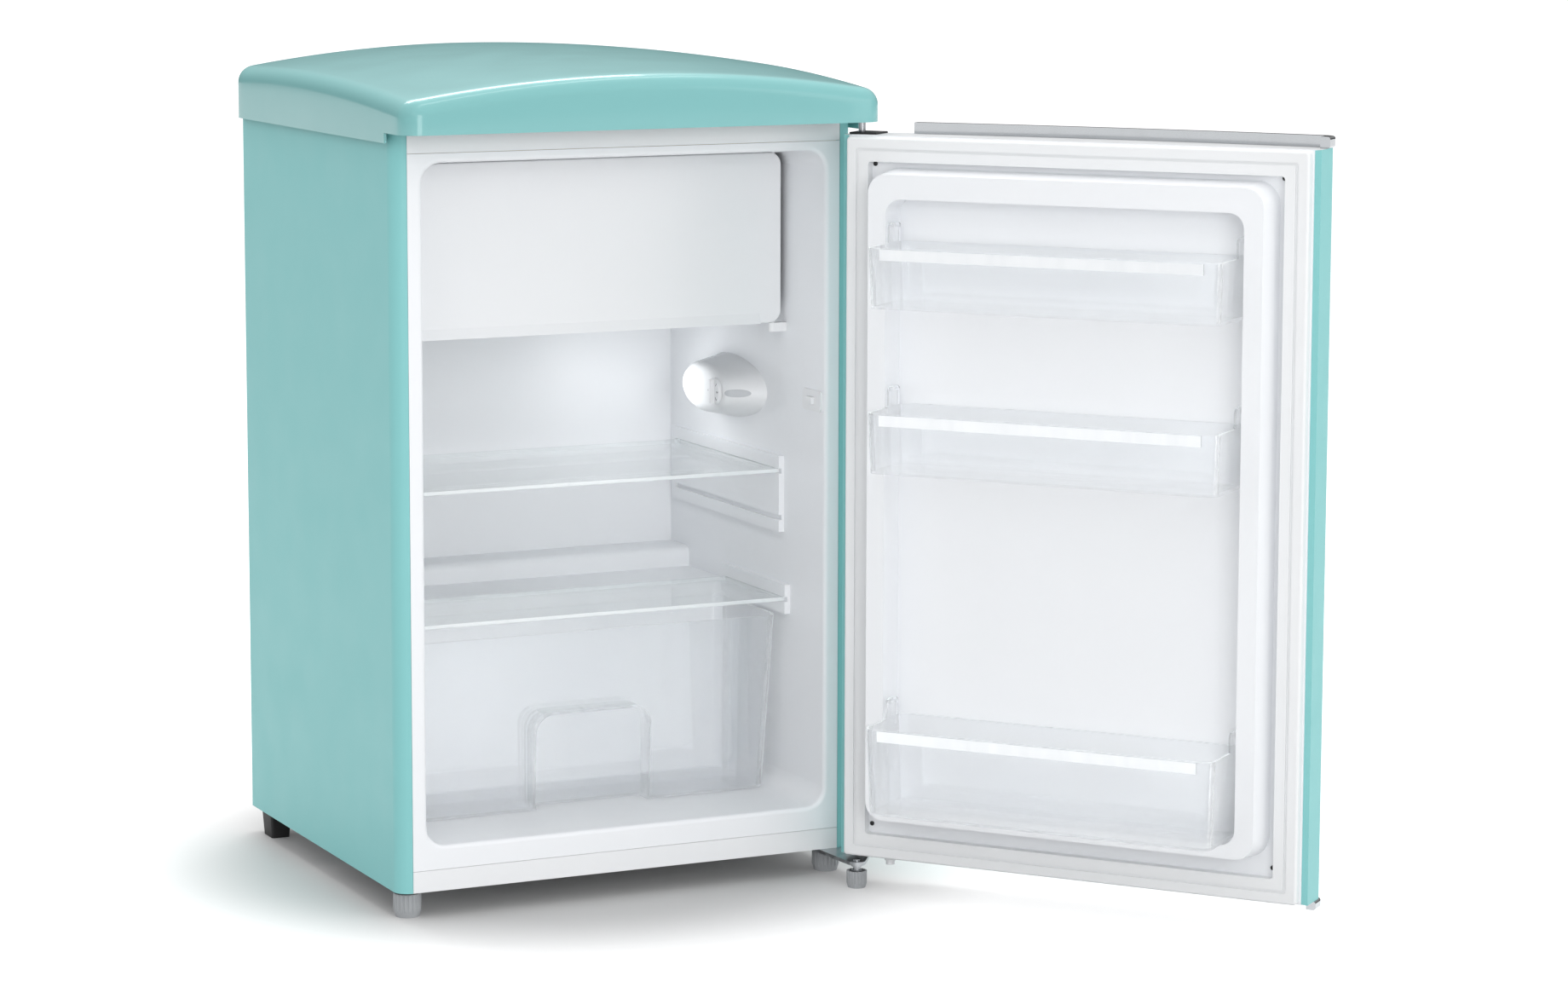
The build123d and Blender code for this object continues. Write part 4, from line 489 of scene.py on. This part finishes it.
def turned(name, outline, sides):
    """A mesh made by turning an outline of (radius, height) points about Z."""
    mesh = bpy.data.meshes.new(name)
    work = bmesh.new()
    rings = []
    for radius, height in outline:
        ring = []
        for step in range(sides):
            angle = 2 * math.pi * step / sides
            ring.append(work.verts.new((radius * math.cos(angle), radius * math.sin(angle), height)))
        rings.append(ring)
    for low, high in zip(rings, rings[1:]):
        for step in range(sides):
            after = (step + 1) % sides
            work.faces.new((low[step], low[after], high[after], high[step]))
    work.faces.new(list(reversed(rings[0])))
    work.faces.new(rings[-1])
    for face in work.faces:
        face.smooth = len(face.verts) == 4
    work.to_mesh(mesh)
    work.free()
    return mesh


def cover_height(x, y):
    """The height of the cover's top at a point of its plan."""
    return COVER_CROWN - x * x / (2 * COVER_ARCH) - (y - COVER_CROWN_Y) ** 2 / (2 * COVER_SLOPE)


def cover_outline(low, high, inset):
    """Points and outward directions round the cover's plan, anticlockwise from its right front corner."""
    radius = COVER_CORNER
    x0, y0, x1, y1 = low[0] + radius, low[1] + radius, high[0] - radius, high[1] - radius
    corners = ((x1, y0), (x1, y1), (x0, y1), (x0, y0))
    points = []
    for side, first in enumerate(corners):
        second = corners[(side + 1) % len(corners)]
        degrees = 90 * side
        facing_out = (math.cos(math.radians(degrees)), math.sin(math.radians(degrees)))
        shares = [step / COVER_SIDE_STEPS for step in range(COVER_SIDE_STEPS + 1)]
        if first[0] == second[0]:
            cut = (CABINET_FRONT - first[1]) / (second[1] - first[1])
            shares = sorted(shares + [cut - COVER_CUT_STEP, cut + COVER_CUT_STEP])
        for share in shares:
            x = first[0] + share * (second[0] - first[0])
            y = first[1] + share * (second[1] - first[1])
            points.append((x, y, facing_out))
        for step in range(1, COVER_CORNER_STEPS):
            angle = math.radians(degrees + 90 * step / COVER_CORNER_STEPS)
            points.append((*second, (math.cos(angle), math.sin(angle))))
    reach = radius - inset
    return [(x + reach * out[0], y + reach * out[1], out) for x, y, out in points]


def cover_columns(low, high, inset):
    """Columns of points from the cover's lower edge, round its rim and over its top, and the last point."""
    columns = []
    radius = COVER_ROUND - inset
    middle = ((low[0] + high[0]) / 2, (low[1] + high[1]) / 2)
    for x, y, out in cover_outline(low, high, inset):
        fall = (cover_height(x - out[0] * radius, y - out[1] * radius) - cover_height(x, y)) / radius
        last = math.pi / 2 - math.atan(fall)
        depth = radius * (1 - math.cos(last))
        centre = cover_height(x - out[0] * depth, y - out[1] * depth) - inset - radius * math.sin(last)
        column = [(x, y, COVER_FRONT_EDGE if y < CABINET_FRONT else low[2])]
        for step in range(COVER_ROUND_STEPS + 1):
            angle = last * step / COVER_ROUND_STEPS
            depth = radius * (1 - math.cos(angle))
            column.append((x - out[0] * depth, y - out[1] * depth, centre + radius * math.sin(angle)))
        end = column[-1]
        for step in range(1, COVER_TOP_RINGS):
            share = 1 - step / COVER_TOP_RINGS
            px = middle[0] + share * (end[0] - middle[0])
            py = middle[1] + share * (end[1] - middle[1])
            column.append((px, py, cover_height(px, py) - inset))
        columns.append(column)
    top = (*middle, cover_height(*middle) - inset)
    return columns, top


def add_cover(material):
    """The domed cover: an outer and an inner skin, joined along the lower edge."""
    low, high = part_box("top_cover")
    mesh = bpy.data.meshes.new("top_cover_shell")
    work = bmesh.new()
    lower = []
    for inset in (0.0, COVER_SHELL):
        columns, top = cover_columns(low, high, inset)
        grid = [[work.verts.new(point) for point in column] for column in columns]
        peak = work.verts.new(top)
        lower.append([column[0] for column in grid])
        for first, second in zip(grid, grid[1:] + grid[:1]):
            for a, b, c, d in zip(first, second, second[1:], first[1:]):
                work.faces.new((a, b, c, d))
            work.faces.new((first[-1], second[-1], peak))
    count = len(lower[0])
    for step in range(count):
        after = (step + 1) % count
        work.faces.new((lower[0][step], lower[0][after], lower[1][after], lower[1][step]))
    bmesh.ops.recalc_face_normals(work, faces=work.faces)
    edge_points = set(lower[0] + lower[1])
    for face in work.faces:
        face.smooth = True
    for line in work.edges:
        line.smooth = not (line.verts[0] in edge_points and line.verts[1] in edge_points)
    work.to_mesh(mesh)
    work.free()
    piece = add_piece("top_cover_shell", mesh, Matrix.Identity(4), "cabinet", material)
    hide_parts("top_cover")


def screw_head(name, radius):
    """A pan-head screw with a round drive recess, its seat at height 0."""
    tall = radius * SCREW_TALL
    outline = [(radius * across, tall * up) for across, up in SCREW_OUTLINE]
    return turned(name, outline, SCREW_SIDES)


def facing(place, normal):
    """The matrix that stands a piece on a point, its Z along the normal."""
    turn = Vector(normal).to_track_quat("Z", "Y").to_matrix().to_4x4()
    return Matrix.Translation(place) @ turn


def add_back_screws(material):
    """The screws along the back panel's edges."""
    places = []
    for z in BACK_SCREW_HEIGHTS:
        places += [(-BACK_SCREW_HALF, z), (BACK_SCREW_HALF, z)]
    for x in BACK_SCREW_ROW:
        places += [(x, BACK_SCREW_HEIGHTS[0]), (x, BACK_SCREW_HEIGHTS[-1])]
    for count, (x, z) in enumerate(places):
        name = "back_screw_" + str(count + 1)
        place = facing((x, BACK_SCREW_Y, z), (0, 1, 0))
        add_piece(name, screw_head(name, BACK_SCREW_RADIUS), place, "cabinet", material)


def add_door_screws(material):
    """The small dark screws in the corners of the door's liner."""
    normal = on_open_door(0.0, 1.0)
    origin = on_open_door(0.0, 0.0)
    out = (normal[0] - origin[0], normal[1] - origin[1], 0.0)
    count = 0
    for x in (-DOOR_SCREW_HALF, DOOR_SCREW_HALF):
        for z in DOOR_SCREW_HEIGHTS:
            count += 1
            name = "door_screw_" + str(count)
            px, py = on_open_door(x, DOOR_SCREW_Y)
            mesh = screw_head(name, DOOR_SCREW_RADIUS)
            add_piece(name, mesh, facing((px, py, z), out), "door", material)


def add_dial_numbers(material):
    """The plain numbers round the dial's face, which looks towards -X."""
    for count, degrees in enumerate(DIAL_ANGLES):
        name = "dial_number_" + str(count + 1)
        text = bpy.data.curves.new(name, "FONT")
        text.body = str(count + 1)
        text.size = DIAL_TEXT
        text.align_x = "CENTER"
        text.align_y = "CENTER"
        text.extrude = DIAL_TEXT_DEPTH
        holder = bpy.data.objects.new(name + "_text", text)
        bpy.context.scene.collection.objects.link(holder)
        view = bpy.context.evaluated_depsgraph_get()
        mesh = bpy.data.meshes.new_from_object(holder.evaluated_get(view))
        bpy.data.objects.remove(holder)
        angle = math.radians(degrees)
        x, y, z = DIAL_FACE
        across, up = DIAL_RING * math.sin(angle), DIAL_RING * math.cos(angle)
        upright = Matrix(((0, 0, -1, 0), (-1, 0, 0, 0), (0, 1, 0, 0), (0, 0, 0, 1)))
        place = Matrix.Translation((x, y - across, z + up)) @ upright @ Matrix.Rotation(-angle, 4, "Z")
        add_piece(name, mesh, place, "dial", material)


# Studio


def look_at(place, target):
    """The rotation of a lamp that points from a place to a target."""
    return (Vector(target) - Vector(place)).to_track_quat("-Z", "Y").to_euler()


def add_lamp(name, place, target, size, power):
    """A soft lamp with a width and a length."""
    data = bpy.data.lights.new(name, "AREA")
    data.energy = power
    data.shape = "RECTANGLE"
    data.size, data.size_y = size
    lamp = bpy.data.objects.new(name, data)
    lamp.location = place
    lamp.rotation_euler = look_at(place, target)
    bpy.context.scene.collection.objects.link(lamp)


def add_glow(name, place, power, radius):
    """A small round lamp inside the cabinet that is not itself seen or mirrored."""
    data = bpy.data.lights.new(name, "POINT")
    data.energy = power
    data.shadow_soft_size = radius
    lamp = bpy.data.objects.new(name, data)
    lamp.location = place
    lamp.visible_camera = False
    lamp.visible_glossy = False
    lamp.visible_transmission = False
    bpy.context.scene.collection.objects.link(lamp)


def seen_directly(tree):
    """A value of 1 for rays from the camera, from shiny surfaces and through glass."""
    path = tree.nodes.new("ShaderNodeLightPath")
    first = tree.nodes.new("ShaderNodeMath")
    first.operation = "MAXIMUM"
    second = tree.nodes.new("ShaderNodeMath")
    second.operation = "MAXIMUM"
    tree.links.new(path.outputs["Is Camera Ray"], first.inputs[0])
    tree.links.new(path.outputs["Is Glossy Ray"], first.inputs[1])
    tree.links.new(first.outputs[0], second.inputs[0])
    tree.links.new(path.outputs["Is Transmission Ray"], second.inputs[1])
    return second.outputs[0]


def make_world():
    """White surroundings: full white where seen, softer as a light, darker low down in reflections."""
    world = bpy.data.worlds.new("studio")
    world.use_nodes = True
    tree = world.node_tree
    background = tree.nodes["Background"]
    path = tree.nodes.new("ShaderNodeLightPath")
    height = tree.nodes.new("ShaderNodeSeparateXYZ")
    tree.links.new(tree.nodes.new("ShaderNodeTexCoord").outputs["Generated"], height.inputs["Vector"])
    shine = tree.nodes.new("ShaderNodeMapRange")
    shine.inputs["From Max"].default_value = SHINE_TOP
    shine.inputs["To Min"].default_value = SHINE_LOW
    shine.inputs["To Max"].default_value = SHINE_HIGH
    tree.links.new(height.outputs["Z"], shine.inputs["Value"])
    light = tree.nodes.new("ShaderNodeMapRange")
    light.inputs["To Min"].default_value = WORLD_LIGHT
    tree.links.new(path.outputs["Is Glossy Ray"], light.inputs["Value"])
    tree.links.new(shine.outputs["Result"], light.inputs["To Max"])
    strength = tree.nodes.new("ShaderNodeMapRange")
    tree.links.new(path.outputs["Is Camera Ray"], strength.inputs["Value"])
    tree.links.new(light.outputs["Result"], strength.inputs["To Min"])
    tree.links.new(strength.outputs["Result"], background.inputs["Strength"])
    background.inputs["Color"].default_value = (1.0, 1.0, 1.0, 1.0)
    bpy.context.scene.world = world


def make_floor():
    """A wide pale floor that runs out of the picture and keeps the shadow; its glow, held low near the
    cabinet, paints shade round it.
    """
    mesh = bpy.data.meshes.new("floor")
    half = FLOOR_SIZE / 2
    corners = [(-half, -half, 0), (half, -half, 0), (half, half, 0), (-half, half, 0)]
    mesh.from_pydata(corners, [], [(0, 1, 2, 3)])
    floor = bpy.data.objects.new("floor", mesh)
    bpy.context.scene.collection.objects.link(floor)
    shader = Shader("pale_floor_painted_shade")
    shader.set(Base_Color=(*FLOOR_COLOUR, 1.0), Roughness=FLOOR_ROUGH, Specular_IOR_Level=FLOOR_SHINE)
    shader.main.inputs["Emission Color"].default_value = (1.0, 1.0, 1.0, 1.0)
    distance = shader.tree.nodes.new("ShaderNodeVectorMath")
    distance.operation = "LENGTH"
    shader.link(shader.place, distance.inputs[0])
    # Glow low near the origin and full far off: painted shade on the floor round the cabinet
    spread = shader.tree.nodes.new("ShaderNodeMapRange")
    spread.interpolation_type = "SMOOTHSTEP"
    spread.inputs["From Min"].default_value = FLOOR_PAINTED_SHADE_REACH[0]
    spread.inputs["From Max"].default_value = FLOOR_PAINTED_SHADE_REACH[1]
    spread.inputs["To Min"].default_value = FLOOR_GLOW_IN_PAINTED_SHADE
    spread.inputs["To Max"].default_value = FLOOR_GLOW_FAR
    shader.link(distance.outputs["Value"], spread.inputs["Value"])
    glow = shader.tree.nodes.new("ShaderNodeMath")
    glow.operation = "MULTIPLY"
    shader.link(seen_directly(shader.tree), glow.inputs[0])
    shader.link(spread.outputs["Result"], glow.inputs[1])
    shader.link(glow.outputs[0], shader.main.inputs["Emission Strength"])
    mesh.materials.append(shader.material)


def make_lights():
    """Five soft lamps round the object and two small ones inside it."""
    for lamp in SOFT_LAMPS:
        add_lamp(*lamp)
    for lamp in INSIDE_LAMPS:
        add_glow(*lamp)


def make_camera():
    """The camera fitted to the photograph: turned and tilted, with a small lens shift."""
    data = bpy.data.cameras.new("camera")
    data.sensor_width = SENSOR_WIDTH
    data.lens = FOCAL_PIXELS * SENSOR_WIDTH / IMAGE_WIDTH
    data.shift_x = (IMAGE_MIDDLE[0] - AXIS_PIXEL[0]) / IMAGE_WIDTH
    data.shift_y = -(IMAGE_MIDDLE[1] - AXIS_PIXEL[1]) / IMAGE_WIDTH
    camera = bpy.data.objects.new("camera", data)
    camera.location = CAMERA_PLACE
    camera.rotation_euler = (math.radians(90 - CAMERA_PITCH), 0.0, math.radians(CAMERA_YAW))
    bpy.context.scene.collection.objects.link(camera)
    bpy.context.scene.camera = camera


materials = make_materials()
dress_nodes(materials)
add_cover(materials["teal_cover"])
add_back_screws(materials["plated_steel"])
add_door_screws(materials["black_plastic"])
add_dial_numbers(materials["black_plastic"])
make_world()
make_floor()
make_lights()
make_camera()
bpy.context.scene.view_settings.view_transform = "Standard"
bpy.context.scene.cycles.transparent_max_bounces = CLEAR_BOUNCES
